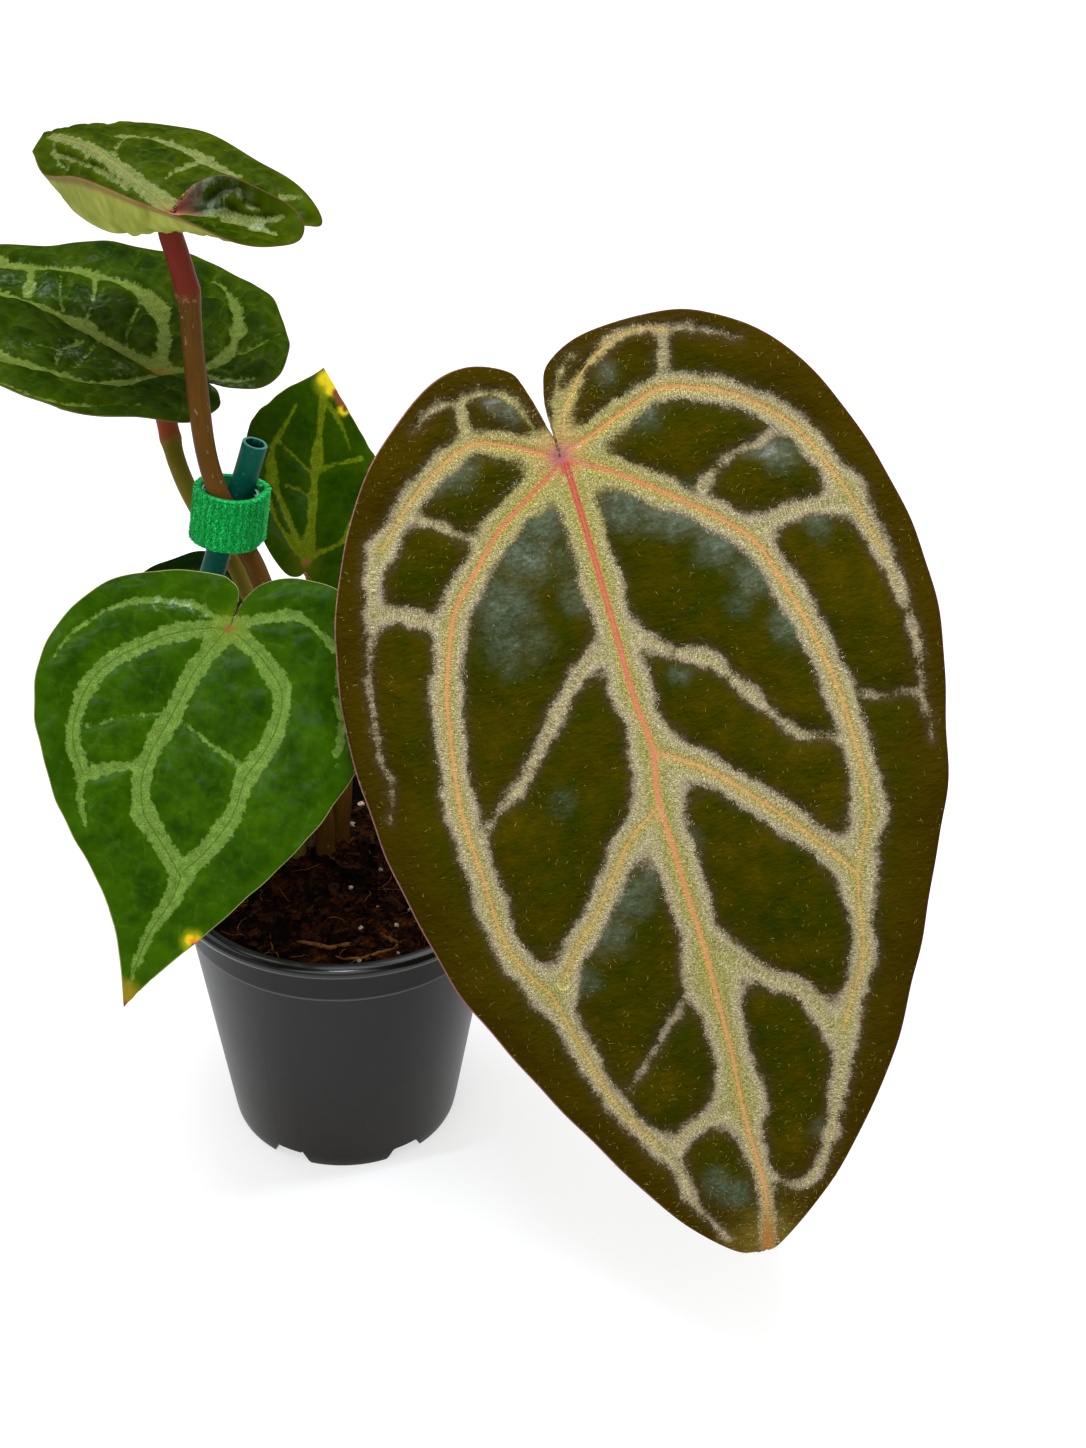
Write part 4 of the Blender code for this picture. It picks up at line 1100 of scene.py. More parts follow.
def leaf_frame(leaf):
    """The blade's own frame as a matrix, in millimetres."""
    turn, fall, roll = (math.radians(leaf[key]) for key in ("heading", "dip", "bank"))
    along = Vector((math.cos(turn) * math.cos(fall), math.sin(turn) * math.cos(fall),
                    -math.sin(fall)))
    level = Vector((math.sin(turn), -math.cos(turn), 0))
    across = level * math.cos(roll) + level.cross(along) * math.sin(roll)
    frame_of = Matrix((across, along, across.cross(along))).transposed().to_4x4()
    frame_of.translation = Vector(leaf["junction"])
    return frame_of


def blade_sheet(leaf, spokes, rings):
    """The blade's smooth sheet: spokes from the midrib to the margin, from the notch round the
    right lobe to the tip and back round the left one."""
    full = {key: [(*p, 0.0, 0.0)[:4] for p in leaf[key]] for key in ("rib", "right", "left")}
    right, left = (smooth_line(full[half], spokes) for half in ("right", "left"))
    rib = smooth_line(full["rib"], 400)
    length = rib[-1, 1]
    mean = (right[:, 1] + left[:, 1]) / 2
    share = np.maximum(0.0, (mean / length - RIB_START) / (1 - RIB_START))
    share[-1] = 1.0
    start = np.stack([np.interp(share * length, rib[:, 1], rib[:, k]) for k in range(3)], 1)
    fold = math.tan(math.radians(leaf["fold"]))
    matrix = np.array(leaf_frame(leaf))

    for half, phase in ((right, 0.0), (left, 2.0)):
        place = np.linspace(0, 1, spokes + 1)
        nick = np.sin(place * 61 + phase) + np.sin(place * 97 + 3 * phase) + np.sin(place * 23)
        half[:, :2] *= 1 + (leaf["nicks"] * nick * np.sin(np.pi * place))[:, None]

    def form(turn, out):
        at = np.rint((1 - np.abs(turn * 2 - 1)) * spokes).astype(int)
        side = np.where(turn > 0.5, 1.0, -1.0)
        edge = np.where((turn > 0.5)[:, None], right[at], left[at])
        root = start[at]
        spot = root + (edge[:, :3] - root) * out[:, None]
        lift = spot[:, 2] - edge[:, 3] * 6.75 * out ** 2 * (1 - out)
        lift += fold * np.abs(spot[:, 0] - root[:, 0])
        lift += leaf["arch"] * np.sin(np.pi * np.clip(spot[:, 1] / length, 0, 1)) ** 2
        calm = np.minimum(1.0, np.minimum(6 * (1 - at / spokes), 6 * at / spokes))
        wave = np.sin(2 * np.pi * leaf["waves"] * at / spokes + side)
        lift += leaf["ripple"] * wave * calm * out ** 3
        margin = np.full(len(spot), ENDLESS)
        for rim in (*right, *left):
            margin = np.minimum(margin, ((spot[:, :3] - rim[:3]) ** 2).sum(1))
        margin = np.sqrt(margin)
        flat = np.stack([spot[:, 0], spot[:, 1], lift], 1)
        world = flat @ matrix[:3, :3].T + matrix[:3, 3]
        return world, {"flat": np.stack([spot[:, 0], spot[:, 1], 0 * lift], 1), "margin": margin}

    mesh = sheet(2 * spokes, rings, form)
    return welded(mesh, towards=Vector(matrix[:3, 2]), gap=leaf.get("weld", 0.15))


def points_of(mesh):
    return read(mesh.vertices, "co") / MM


def flat_of(mesh):
    return read(mesh.attributes["flat"].data, "vector")


def tree_of(mesh):
    return BVHTree.FromPolygons([v.co for v in mesh.vertices], [p.vertices for p in mesh.polygons])


def vein_routes(name, mesh):
    """Every vein of the blade: its line in space, the band's widths, and its line's width and
    redness."""
    tree, spots, flat = tree_of(mesh), points_of(mesh), flat_of(mesh)[:, :2]
    found = []
    for first, last, *ink, pixels in VEINS[name]:
        hits = [tree.ray_cast(EYE * MM, sight(pixel))[0]
                for pixel in smooth_line(pixels, max(3, 2 * len(pixels)))]
        route = [tuple(hit / MM) for hit in hits if hit is not None]
        if len(route) > 1:
            found.append((route, first, last, *(ink or NO_INK)))
    for first, last, after, places in HIDDEN_VEINS.get(name, []):
        if after is not None:
            end = np.array(found[after][0][-1])
            places = [tuple(flat[np.argmin(((spots - end) ** 2).sum(1))]), *places]
        route = [spots[np.argmin(((flat - spot) ** 2).sum(1))] for spot in smooth_line(places, 8)]
        found.append((route, first, last, *NO_INK))
    lines = []
    for route, *widths in found:
        route = np.array(route)
        length = np.linalg.norm(np.diff(route, axis=0), axis=1).sum()
        lines.append((smooth_line(route, max(4, round(length / 1.6)), 20), *widths))
    return lines


def nearest_on(line, spots, ups):
    """For each place, how far the line is and on which side, and how far along the line."""
    start, step = line[:-1], np.diff(line, axis=0)
    size = (step ** 2).sum(1)
    run = np.concatenate([[0], np.cumsum(np.sqrt(size))])
    best = np.full(len(spots), ENDLESS)
    along, side = np.zeros(len(spots)), np.zeros(len(spots))
    for i in range(len(start)):
        rel = spots - start[i]
        share = np.clip(rel @ step[i] / size[i], 0, 1)
        away = rel - share[:, None] * step[i]
        gap = np.linalg.norm(away, axis=1)
        nearer = gap < best
        best[nearer] = gap[nearer]
        along[nearer] = run[i] + share[nearer] * math.sqrt(size[i])
        side[nearer] = np.sign((np.cross(step[i], away) * ups).sum(1))[nearer]
    return best, best * side, along, along / run[-1]


def joined(one, other, blend):
    """The nearer of two distances, with the corner between them filled."""
    share = np.clip(0.5 + 0.5 * (other - one) / blend, 0, 1)
    return other * (1 - share) + one * share - blend * share * (1 - share)


def seen_at(mesh, pixel):
    """The number of the corner that shows at a pixel of the picture."""
    spots, way = points_of(mesh), np.array(sight(pixel))
    rel = spots - np.array(EYE)
    depth = rel @ way
    off = np.linalg.norm(rel - depth[:, None] * way, axis=1)
    near = off < off.min() + 1.2
    return int(np.flatnonzero(near)[np.argmin(depth[near])])


FAR = 60.0                     # stands for "nowhere near a vein"


def vein_marks(mesh, lines, up, web, sheen):
    """How far each place is from the bands and from the coloured lines, kept on the mesh."""
    spots = points_of(mesh)
    start = {"band": FAR, "line": FAR, "core": FAR, "width": 1.0, "red": 0.0, "run": 0.0,
             "side": 0.0, "sheen": 0.0}
    marks = {name: np.full(len(spots), value) for name, value in start.items()}
    for number, (line, first, last, line_width, red, red_end) in enumerate(lines):
        gap, side, along, share = nearest_on(line, spots, np.array(up))
        uneven = np.sin(along / 2.3 + 1.7 * number) + np.sin(along / 4.1 + number)
        half = (first + (last - first) * share) * (1 + (0.07 if first > 2.3 else 0.22) * uneven)
        nearer = gap < marks["core"]
        marks["run"][nearer] = along[nearer] + 37.0 * number
        marks["core"][nearer] = gap[nearer]
        marks["band"] = joined(gap - half, marks["band"], min(web, 1.8 * first))
        if line_width:
            nearer = gap < marks["line"]
            for name, values in {"line": gap, "side": side, "width": line_width * (1 - 0.4 * share),
                                 "red": red + (red_end - red) * share}.items():
                marks[name][nearer] = values[nearer]
    for x, y, reach, strength in sheen:
        middle = spots[seen_at(mesh, (x, y))]
        glow = strength * np.exp(-(np.linalg.norm(spots - middle, axis=1) / reach) ** 2)
        marks["sheen"] = np.maximum(marks["sheen"], glow)
    for name, values in marks.items():
        keep(mesh, name, values)
    return marks


def cell_marks(mesh, size):
    """How far each place is from the net of fine veins, kept on the mesh."""
    flat = flat_of(mesh)[:, :2]
    bent = flat + 0.16 * size * np.array([[noise.noise(Vector((x, y, 0)) / size * 1.7),
                                           noise.noise(Vector((x, y, 9)) / size * 1.7)]
                                          for x, y in flat])
    low, high = flat.min(0) - size, flat.max(0) + size
    nearest, second = np.full(len(flat), ENDLESS), np.full(len(flat), ENDLESS)
    for x in np.arange(low[0], high[0], size):
        for y in np.arange(low[1], high[1], size * 0.8):
            middle = (x, y) + seed.uniform(-0.36, 0.36, 2) * size
            gap = np.linalg.norm(bent - middle, axis=1)
            second = np.minimum(second, np.maximum(gap, nearest))
            nearest = np.minimum(nearest, gap)
    net = (second - nearest) / 2
    keep(mesh, "net", net)
    return net


def raise_relief(mesh, marks, form, up):
    """Bulges the tissue between the veins and sinks their lines. Gives each place's share of the
    blade's thickness: full on a vein's rib, and thin at the margin and at the knot."""
    spots, flat = points_of(mesh), flat_of(mesh)
    puff = form["puff"] * (1 - np.exp(-cell_marks(mesh, form["net"]) / 1.1))
    quilt = np.array([noise.noise(Vector((x, y, 0)) / form["cell"]) * 0.7
                      + noise.noise(Vector((x + 50, y, 4)) / (form["cell"] * 0.45)) * 0.45
                      + noise.noise(Vector((x + 90, y, 8)) / (form["cell"] * 0.2)) * 0.14
                      for x, y in flat[:, :2]])
    away = np.clip(marks["band"], 0, None)
    bulge = form["bulge"] * (1 - np.exp(-away / form["slope"])) * (1 + 0.9 * quilt)
    bulge += puff * (1 - np.exp(-away / 1.2))
    sink = form["groove"] * np.exp(-(marks["core"] / 1.1) ** 2) * (marks["band"] < 0)
    edge = np.zeros(len(spots))
    mesh.attributes["margin"].data.foreach_get("value", edge)
    knot = np.linalg.norm(flat[:, :2], axis=1)
    rise = form["lift"] + (bulge - sink) * np.clip(edge / 5.0, 0, 1) * np.clip(knot / 6.0, 0, 1)
    lift_way = np.array(up) if form.get("level") else read(mesh.vertex_normals, "vector")
    spots = spots + lift_way * rise[:, None]
    mesh.vertices.foreach_set("co", (spots * MM).ravel())
    ribbed = np.exp(-(marks["core"] / 1.2) ** 2) * np.clip(edge / 3.0, 0, 1) * (knot > 3)
    thin = BLADE / (BLADE + form["rib"])
    return ((thin + (1 - thin) * ribbed) * np.clip((knot + 1) / 5.0, 0.2, 1)
            * np.clip(0.3 + edge / 4.0, 0.3, 1))


BLADE = 0.75                   # a blade's thickness between its ribs
PLAIN_FORM = {"cell": 7.0, "bulge": 0.5, "slope": 2.5, "groove": 0.2, "lift": 0.3, "puff": 0.2,
              "net": 8.0, "rib": 0.6, "grid": (90, 22), "web": 1.5, "level": True}
FORMS = {
    "velvet": {"cell": 13.0, "bulge": 2.2, "slope": 5.0, "groove": 0.6, "lift": 0.35, "puff": 0.12,
               "net": 11.0, "rib": 1.3, "grid": (270, 62), "web": 8.0, "level": True},
    "front": {"cell": 9.0, "bulge": 0.75, "slope": 3.5, "groove": 0.3, "lift": 0.35, "puff": 0.35,
              "net": 8.0, "rib": 0.9, "grid": (200, 50), "web": 2.0, "level": True},
    "top": {"cell": 5.5, "bulge": 0.8, "slope": 2.2, "groove": 0.25, "lift": 0.3, "puff": 0.7,
            "net": 7.0, "rib": 0.8, "grid": (200, 50), "web": 1.2},
    "left": {"cell": 6.5, "bulge": 1.1, "slope": 2.6, "groove": 0.3, "lift": 0.35, "puff": 1.3,
             "net": 9.0, "rib": 0.9, "grid": (230, 60), "web": 2.5, "level": True},
    "back": PLAIN_FORM,
    "rear": PLAIN_FORM,
}


def velvet_upper():
    """Olive-black velvet with broad silver-gold bands of felt, and red lines along the veins."""
    made = Surface("velvet_upper", Specular_IOR_Level=0.0, Coat_Roughness=0.30)
    flat = made.attribute("flat", "Vector")
    band, run, core, edge, near_line, red, side, width, sheen = made.attributes(
        "band", "run", "core", "margin", "line", "red", "side", "width", "sheen")
    bristle = made.centred(made.combined(run * 2.2, core * 0.5), 1.0, 3.0)
    stroke = made.centred(made.combined(run * 3.0, core), 1.0, 3.0, 0.7)
    ragged, felt = made.centred(flat, 0.28), made.centred(flat, 1.5, 3.0, 0.7)
    speck, fine = made.centred(flat, 3.1, 2.0), made.centred(flat, 1.1)
    ground, mottle = made.centred(flat, 0.035), made.centred(flat, 0.16, 5.0)
    crease = made.centred(made.stretched(flat, (0.9, 1.4, 1.0)), 0.42, 3.0)
    frayed = band + bristle * 0.35 + ragged * 1.1 + felt * 0.9 + speck * 0.35
    felted = frayed.fades(-1.25, 0.75)
    # The sheen patches are painted into the lamina's colour as a crinkled blue-grey sheen, a painted
    # reflection, and they also weight the glossy coat.
    patch = made.centred(flat, 0.14, 3.0) * 0.20 + sheen
    haze = patch.fades(1.0, 0.12) * (1 - felted)
    lit = (crease * 0.42 + fine * 0.34 + 0.5).least(1.0).most(0.0)
    lit = lit * lit * 1.2 + 0.1
    lamina = made.coats(
        made.ramp(ground * 0.28 + mottle * 0.27 + fine * 0.10 + 0.5, [
            (0.15, (0.011, 0.018, 0.0001)), (0.40, (0.021, 0.0215, 0.0001)),
            (0.60, (0.029, 0.0235, 0.0001)), (0.85, (0.044, 0.030, 0.0002))]),
        (edge.fades(5.0, 17.0) * 0.80, (0.030, 0.0175, 0.0004)),
        (frayed.fades(0.6, 2.8) * 0.45, (0.040, 0.026, 0.010)),
        (haze * (lit * 0.66 + 0.14), (0.060, 0.086, 0.054)),
        (speck.fades(1.05, 0.85) * 0.32, (0.16, 0.12, 0.018)))

    knot = made.length(flat)
    tint = made.coats(
        made.ramp(band * -0.2 + ragged * 0.12, [
            (0.02, (0.33, 0.265, 0.190)), (0.32, (0.40, 0.335, 0.185)),
            (0.80, (0.31, 0.290, 0.090))]),
        (knot.fades(6.0, 52.0) * 0.60, (0.34, 0.310, 0.055)),
        (near_line.fades(0.6, 2.2) * (red * 0.5 + 0.25), (0.50, 0.32, 0.08)))
    tint = made.darkened(1.0, tint, made.ramp(stroke * 0.26 + speck * 0.18 + felt * 0.10 + 0.5, [
        (0.22, (0.24, 0.25, 0.13)), (0.44, (0.62, 0.62, 0.50)), (0.58, (1.05, 1.05, 1.0)),
        (0.76, (1.9, 1.95, 2.2))]))
    glints = made.centred(flat, 2.3, 1.0, 0.5).fades(0.95, 0.72)
    tint = made.mixed(glints * 0.55, tint, (0.80, 0.74, 0.60))

    centre = (abs(side) + made.centred(flat, 0.9) * 0.15).fades(0.0, 0.45)
    line_colour = made.mixed(centre * 0.22, made.ramp(red, [
        (0.1, (0.50, 0.34, 0.095)), (0.40, (0.57, 0.30, 0.115)), (0.70, (0.56, 0.21, 0.10)),
        (1.0, (0.41, 0.058, 0.048))]), (0.66, 0.28, 0.17))
    inked = (abs(side) - width).fades(-0.25, 0.30) * near_line.fades(1.4, 2.2)
    # A pink line along the margin of one side only: painted rim light.
    painted_rim_light = made.part(flat, 0).fades(32.0, 16.0) * edge.fades(0.10, 0.55)
    tip = made.distance(flat, (-1.0, LEAVES["velvet"]["rib"][-1][1], 0.0))
    colour = made.coats(
        lamina, (felted, tint),
        ((knot + ragged).fades(3.0, 10.0) * 0.6, (0.46, 0.24, 0.085)),
        ((knot + ragged * 0.8).fades(1.6, 4.6) * 0.9, (0.44, 0.155, 0.13)),
        (inked * (red * 0.35 + 0.6), line_colour),
        ((knot + felt * 0.3).fades(1.2, 2.8) * 0.85, (0.42, 0.115, 0.14)),
        (knot.fades(0.35, 0.7) * 0.85, (0.05, 0.006, 0.012)),
        (edge.fades(0.15, 0.60) * 0.9, (0.075, 0.018, 0.014)),
        (painted_rim_light * 0.9, (0.30, 0.150, 0.125)),
        ((tip + ragged * 2.5).fades(4.0, 17.0) * 0.5, (0.15, 0.10, 0.015)),
        ((tip + ragged).fades(1.0, 11.0) * core.fades(0.8, 2.4) * 0.8, (0.32, 0.12, 0.02)))
    height = felted * (felt * 0.4 + speck * 0.35) + (1 - felted) * (fine * 0.12 + crease * 0.5)
    return made.ends_in(Base_Color=colour, Roughness=felted * 0.22 + mottle * 0.04 + 0.46,
                        Coat_Weight=haze * (lit * 0.35 + 0.1), Normal=made.relief(height, 0.50))


def green_upper(name, dark, light, band_colour, crease, knot_colour, margin_colour, gloss, jag,
                puffed, scorch):
    """A smooth green blade: mottled tissue, ragged pale bands and a dark crease along each."""
    made = Surface(name, Specular_IOR_Level=0.0, Coat_Roughness=0.24)
    flat = made.attribute("flat", "Vector")
    band, edge, near_line, side, net, sheen = made.attributes("band", "margin", "line", "side",
                                                              "net", "sheen")
    torn, fine = made.centred(flat, 0.55), made.centred(flat, 2.4, 3.0)
    mottle, cells = made.centred(flat, 0.075), made.centred(flat, 0.42)
    banded = (band + torn * 0.75 * jag + fine * 0.35).fades(-0.35, 0.25)
    lamina = made.coats(
        made.ramp(mottle * 0.34 + cells * 0.16 + 0.46, [(0.24, dark), (0.76, light)]),
        (band.fades(0.2, 3.5) * 0.3, light), (edge.fades(0.5, 7.0) * 0.35, light),
        (net.fades(0.0, 0.40) * (cells * 0.06 + puffed * 0.03 + 0.05), band_colour))
    lamina = made.darkened(net.fades(2.6, 0.5) * puffed * 0.22, lamina, (0.45, 0.50, 0.45))
    tint = made.darkened(1.0, band_colour, made.ramp(fine * 0.24 + cells * 0.16 + 0.5, [
        (0.25, (0.40, 0.50, 0.34)), (0.50, (0.84, 0.87, 0.84)), (0.74, (1.50, 1.45, 1.65))]))
    creased = abs(side).fades(0.10, 0.30) * near_line.fades(0.8, 1.4)
    flecks = made.centred(made.place(), 620.0)
    # The sheen patches and flecks are painted into the colour as a pale whitish sheen, a painted
    # reflection, and they also weight the glossy coat.
    haze = (sheen + cells * 0.14 + flecks * 0.26).fades(1.0, 0.30)
    knot = made.length(flat)
    colour = made.coats(
        lamina, (banded, made.mixed(creased * 0.6, tint, crease)),
        (haze * (banded * 0.50 + 0.24), (0.36, 0.46, 0.33)),
        ((knot + torn).fades(1.0, 8.0) * 0.30, knot_colour),
        ((knot + torn * 0.5).fades(0.5, 2.2) * 0.7, (0.16, 0.060, 0.020)))
    if margin_colour:
        colour = made.mixed((edge + cells * 0.05).fades(0.10, 0.34) * 0.9, colour, margin_colour)
    for place, reach, shade in scorch:
        gap = made.distance(flat, place) + torn * 0.25 + cells * 0.3
        colour = made.mixed(gap.fades(reach * 0.35, reach * 1.05), colour, shade)
    height = banded * (fine * 0.22 + 0.15) + (1 - banded) * (cells * 0.07 + mottle * 0.10)
    return made.ends_in(Base_Color=colour, Roughness=banded * 0.12 + cells * 0.03 + gloss,
                        Coat_Weight=haze * 0.20 + puffed * 0.012 + 0.004,
                        Normal=made.relief(height, 0.30))


def blade_under(name, dark, light, vein):
    """The paler underside, whose veins stand out."""
    made = Surface(name, Specular_IOR_Level=0.02, Roughness=0.5)
    core, edge = made.attributes("core", "margin")
    mottle = made.grain(made.attribute("flat", "Vector"), 0.2, 5.0, 0.6)
    colour = made.coats(made.ramp(mottle, [(0.35, dark), (0.65, light)]),
                        (core.fades(0.4, 1.6) * 0.8, vein),
                        (edge.fades(0.2, 0.8) * 0.7, (0.13, 0.045, 0.025)))
    return made.ends_in(Base_Color=colour, Normal=made.relief(mottle, 0.15))


# Each green leaf's colours: dark and light tissue, the bands, the crease along them, the knot and
# the margin. Then its roughness, how ragged its bands are and how quilted its cells look.
GREENS = {
    "front": ((0.007, 0.025, 0.0001), (0.024, 0.064, 0.0002), (0.095, 0.155, 0.024),
              (0.024, 0.064, 0.0002), (0.13, 0.15, 0.004), (0.26, 0.26, 0.10), 0.40, 1.1, 1.2),
    "top": ((0.008, 0.018, 0.0001), (0.034, 0.052, 0.0003), (0.118, 0.134, 0.038),
            (0.20, 0.135, 0.045), (0.20, 0.13, 0.04), (0.095, 0.032, 0.022), 0.40, 1.2, 1.8),
    "left": ((0.006, 0.018, 0.0001), (0.027, 0.048, 0.0003), (0.098, 0.130, 0.022),
             (0.12, 0.10, 0.020), (0.16, 0.14, 0.010), (0.12, 0.075, 0.04), 0.42, 1.2, 2.4),
    "back": ((0.005, 0.020, 0.0001), (0.021, 0.045, 0.0002), (0.085, 0.110, 0.003),
             (0.05, 0.07, 0.001), (0.10, 0.09, 0.004), (0.14, 0.10, 0.02), 0.46, 0.6, 0.4),
    "rear": ((0.002, 0.010, 0.001), (0.006, 0.020, 0.002), (0.018, 0.035, 0.006),
             (0.006, 0.020, 0.002), (0.02, 0.03, 0.004), None, 0.34, 0.8, 0.3),
}
YELLOW, BROWN = (0.50, 0.38, 0.01), (0.13, 0.040, 0.012)
# Scorched and yellowed spots: the pixel, the reach in millimetres and the colour.
SCORCH = {
    "front": [((197, 939), 4.0, (0.16, 0.20, 0.004)), ((189, 935), 1.4, (0.42, 0.30, 0.008)),
              ((195, 938), 1.7, (0.52, 0.31, 0.01)), ((202, 939), 1.5, (0.46, 0.22, 0.008)),
              ((199, 942), 1.2, (0.42, 0.15, 0.010)), ((200, 943), 0.8, BROWN),
              ((125, 993), 6.0, (0.15, 0.11, 0.006)), ((123, 1002), 2.2, BROWN)],
    "top": [((174, 207), 2.8, (0.30, 0.10, 0.065)), ((180, 200), 2.2, (0.22, 0.085, 0.060)),
            ((186, 190), 1.5, (0.16, 0.09, 0.06)), ((193, 184), 1.3, (0.13, 0.09, 0.06))],
    "back": [((325, 382), 5.5, (0.16, 0.17, 0.004)), ((324, 376), 3.4, YELLOW),
             ((327, 388), 2.6, YELLOW), ((340, 410), 2.4, YELLOW), ((335, 390), 2.2, BROWN),
             ((338, 398), 2.2, BROWN), ((342, 405), 1.8, BROWN)],
}
UNDER = {
    "velvet": blade_under("velvet_under", (0.10, 0.10, 0.03), (0.16, 0.15, 0.05),
                          (0.35, 0.16, 0.09)),
    "top": blade_under("top_under", (0.18, 0.205, 0.026), (0.33, 0.35, 0.070),
                       (0.36, 0.34, 0.11)),
}
PLAIN_UNDER = blade_under("green_under", (0.07, 0.13, 0.02), (0.13, 0.21, 0.04),
                          (0.22, 0.28, 0.09))

for name, leaf in LEAVES.items():
    form = FORMS[name]
    mesh = blade_sheet(leaf, *form["grid"])
    veins = vein_routes(name, mesh)
    up = leaf_frame(leaf).to_3x3().col[2]
    marks = vein_marks(mesh, veins, up, form["web"], SHEEN.get(name, []))
    spots = [(tuple(flat_of(mesh)[seen_at(mesh, pixel)]), reach, shade)
             for pixel, reach, shade in SCORCH.get(name, [])]
    upper = velvet_upper() if name == "velvet" else green_upper(f"{name}_upper", *GREENS[name],
                                                                spots)
    weight = raise_relief(mesh, marks, form, up)
    piece = dress(f"leaf_{name}", mesh, [upper, UNDER.get(name, PLAIN_UNDER)],
                  stands_for=f"blade_{name}")
    group = piece.vertex_groups.new(name="rib")
    for index, value in enumerate(weight):
        group.add([index], float(value), "REPLACE")
    shell = piece.modifiers.new("thickness", "SOLIDIFY")
    shell.thickness = (BLADE + form["rib"]) * MM
    shell.offset = -1.0
    shell.vertex_group = "rib"
    shell.material_offset = 1
    if name == "velvet":
        velvet, velvet_veins = mesh, veins


# Felt on the velvet leaf
# The pale bands are a felt of fine silver hairs that lean away from the vein, and at the band's
# edge they stand out over the dark tissue. The shader holds the depth of the felt, and these are
# its topmost hairs, with a few loose ones all over the leaf.

HAIR_RADIUS = 0.05
HAIRS_PER_MM2 = 2.8
LOOSE_HAIRS, LOOSE_GLINT = 3200, -0.6
KNOT = Vector(LEAVES["velvet"]["junction"])
BARE_KNOT = 4.5                # no felt this near the junction


def felt_hairs():
    roots, tips, glint = [], [], []
    tree = tree_of(velvet)
    for line, first, last, *_ in velvet_veins:
        step = np.diff(line, axis=0)
        lengths = np.linalg.norm(step, axis=1)
        total = lengths.sum()
        run = np.cumsum(lengths) / total
        count = int(total * (first + last) * HAIRS_PER_MM2)
        at, off = seed.uniform(0, 1, count), seed.uniform(0, 1, count) ** 1.05
        side, twist = seed.choice((-1.0, 1.0), count), seed.normal(0, 1.1, count)
        size = seed.uniform(0.45, 1.15, count)
        for k in range(count):
            i = int(np.searchsorted(run, at[k]))
            half = first + (last - first) * at[k]
            way = Vector(step[i]).normalized()
            before = run[i - 1] if i else 0.0
            middle = Vector(line[i]) + Vector(step[i]) * ((at[k] - before)
                                                          / max(run[i] - before, 1e-9))
            normal = tree.find_nearest(middle * MM)[1]
            across = normal.cross(way).normalized() * side[k]
            wander = noise.noise(middle / 0.7) * 0.6 + noise.noise(middle / 2.6) * 0.6
            offset = (half * (0.16 + 0.90 * off[k])) * (1 + 0.45 * wander)
            root, normal, _, _ = tree.find_nearest((middle + across * offset) * MM)
            if (root / MM - KNOT).length < BARE_KNOT:
                continue
            lean = across * math.cos(twist[k]) + way * math.sin(twist[k])
            roots.append(tuple(root / MM - normal * 0.05))
            tips.append(tuple(root / MM + (lean * 0.95 + normal * 0.22) * size[k]))
            glint.append(off[k])
    spots = points_of(velvet)
    for k in seed.integers(0, len(spots), LOOSE_HAIRS):
        root, normal, _, _ = tree.find_nearest(Vector(spots[k] + seed.normal(0, 0.8, 3)) * MM)
        lean = normal.cross(Vector(seed.normal(0, 1, 3))).normalized()
        roots.append(tuple(root / MM - normal * 0.06))
        tips.append(tuple(root / MM + (lean + normal * 0.10) * seed.uniform(0.8, 2.0)))
        glint.append(LOOSE_GLINT)
    return spikes(roots, tips, HAIR_RADIUS, {"share": np.array(glint)})


def silver_hair():
    made = Surface("silver_hair", Roughness=0.38, Specular_IOR_Level=0.2)
    shade = made.grain(made.place(), 700.0, 2.0)
    return made.ends_in(Base_Color=made.ramp(made.attribute("share") * 0.25 + shade, [
        (0.05, (0.13, 0.09, 0.012)), (0.40, (0.38, 0.32, 0.11)), (0.62, (0.58, 0.48, 0.28)),
        (0.86, (0.98, 0.88, 0.70))]))


dress("velvet_felt", felt_hairs(), [silver_hair()])


# Leaf stalks
# Round fleshy stalks that stand in the mix round the stem. Each has a swollen joint a little
# below its blade, is redder above it and olive or brown below, and has pale corky pores.

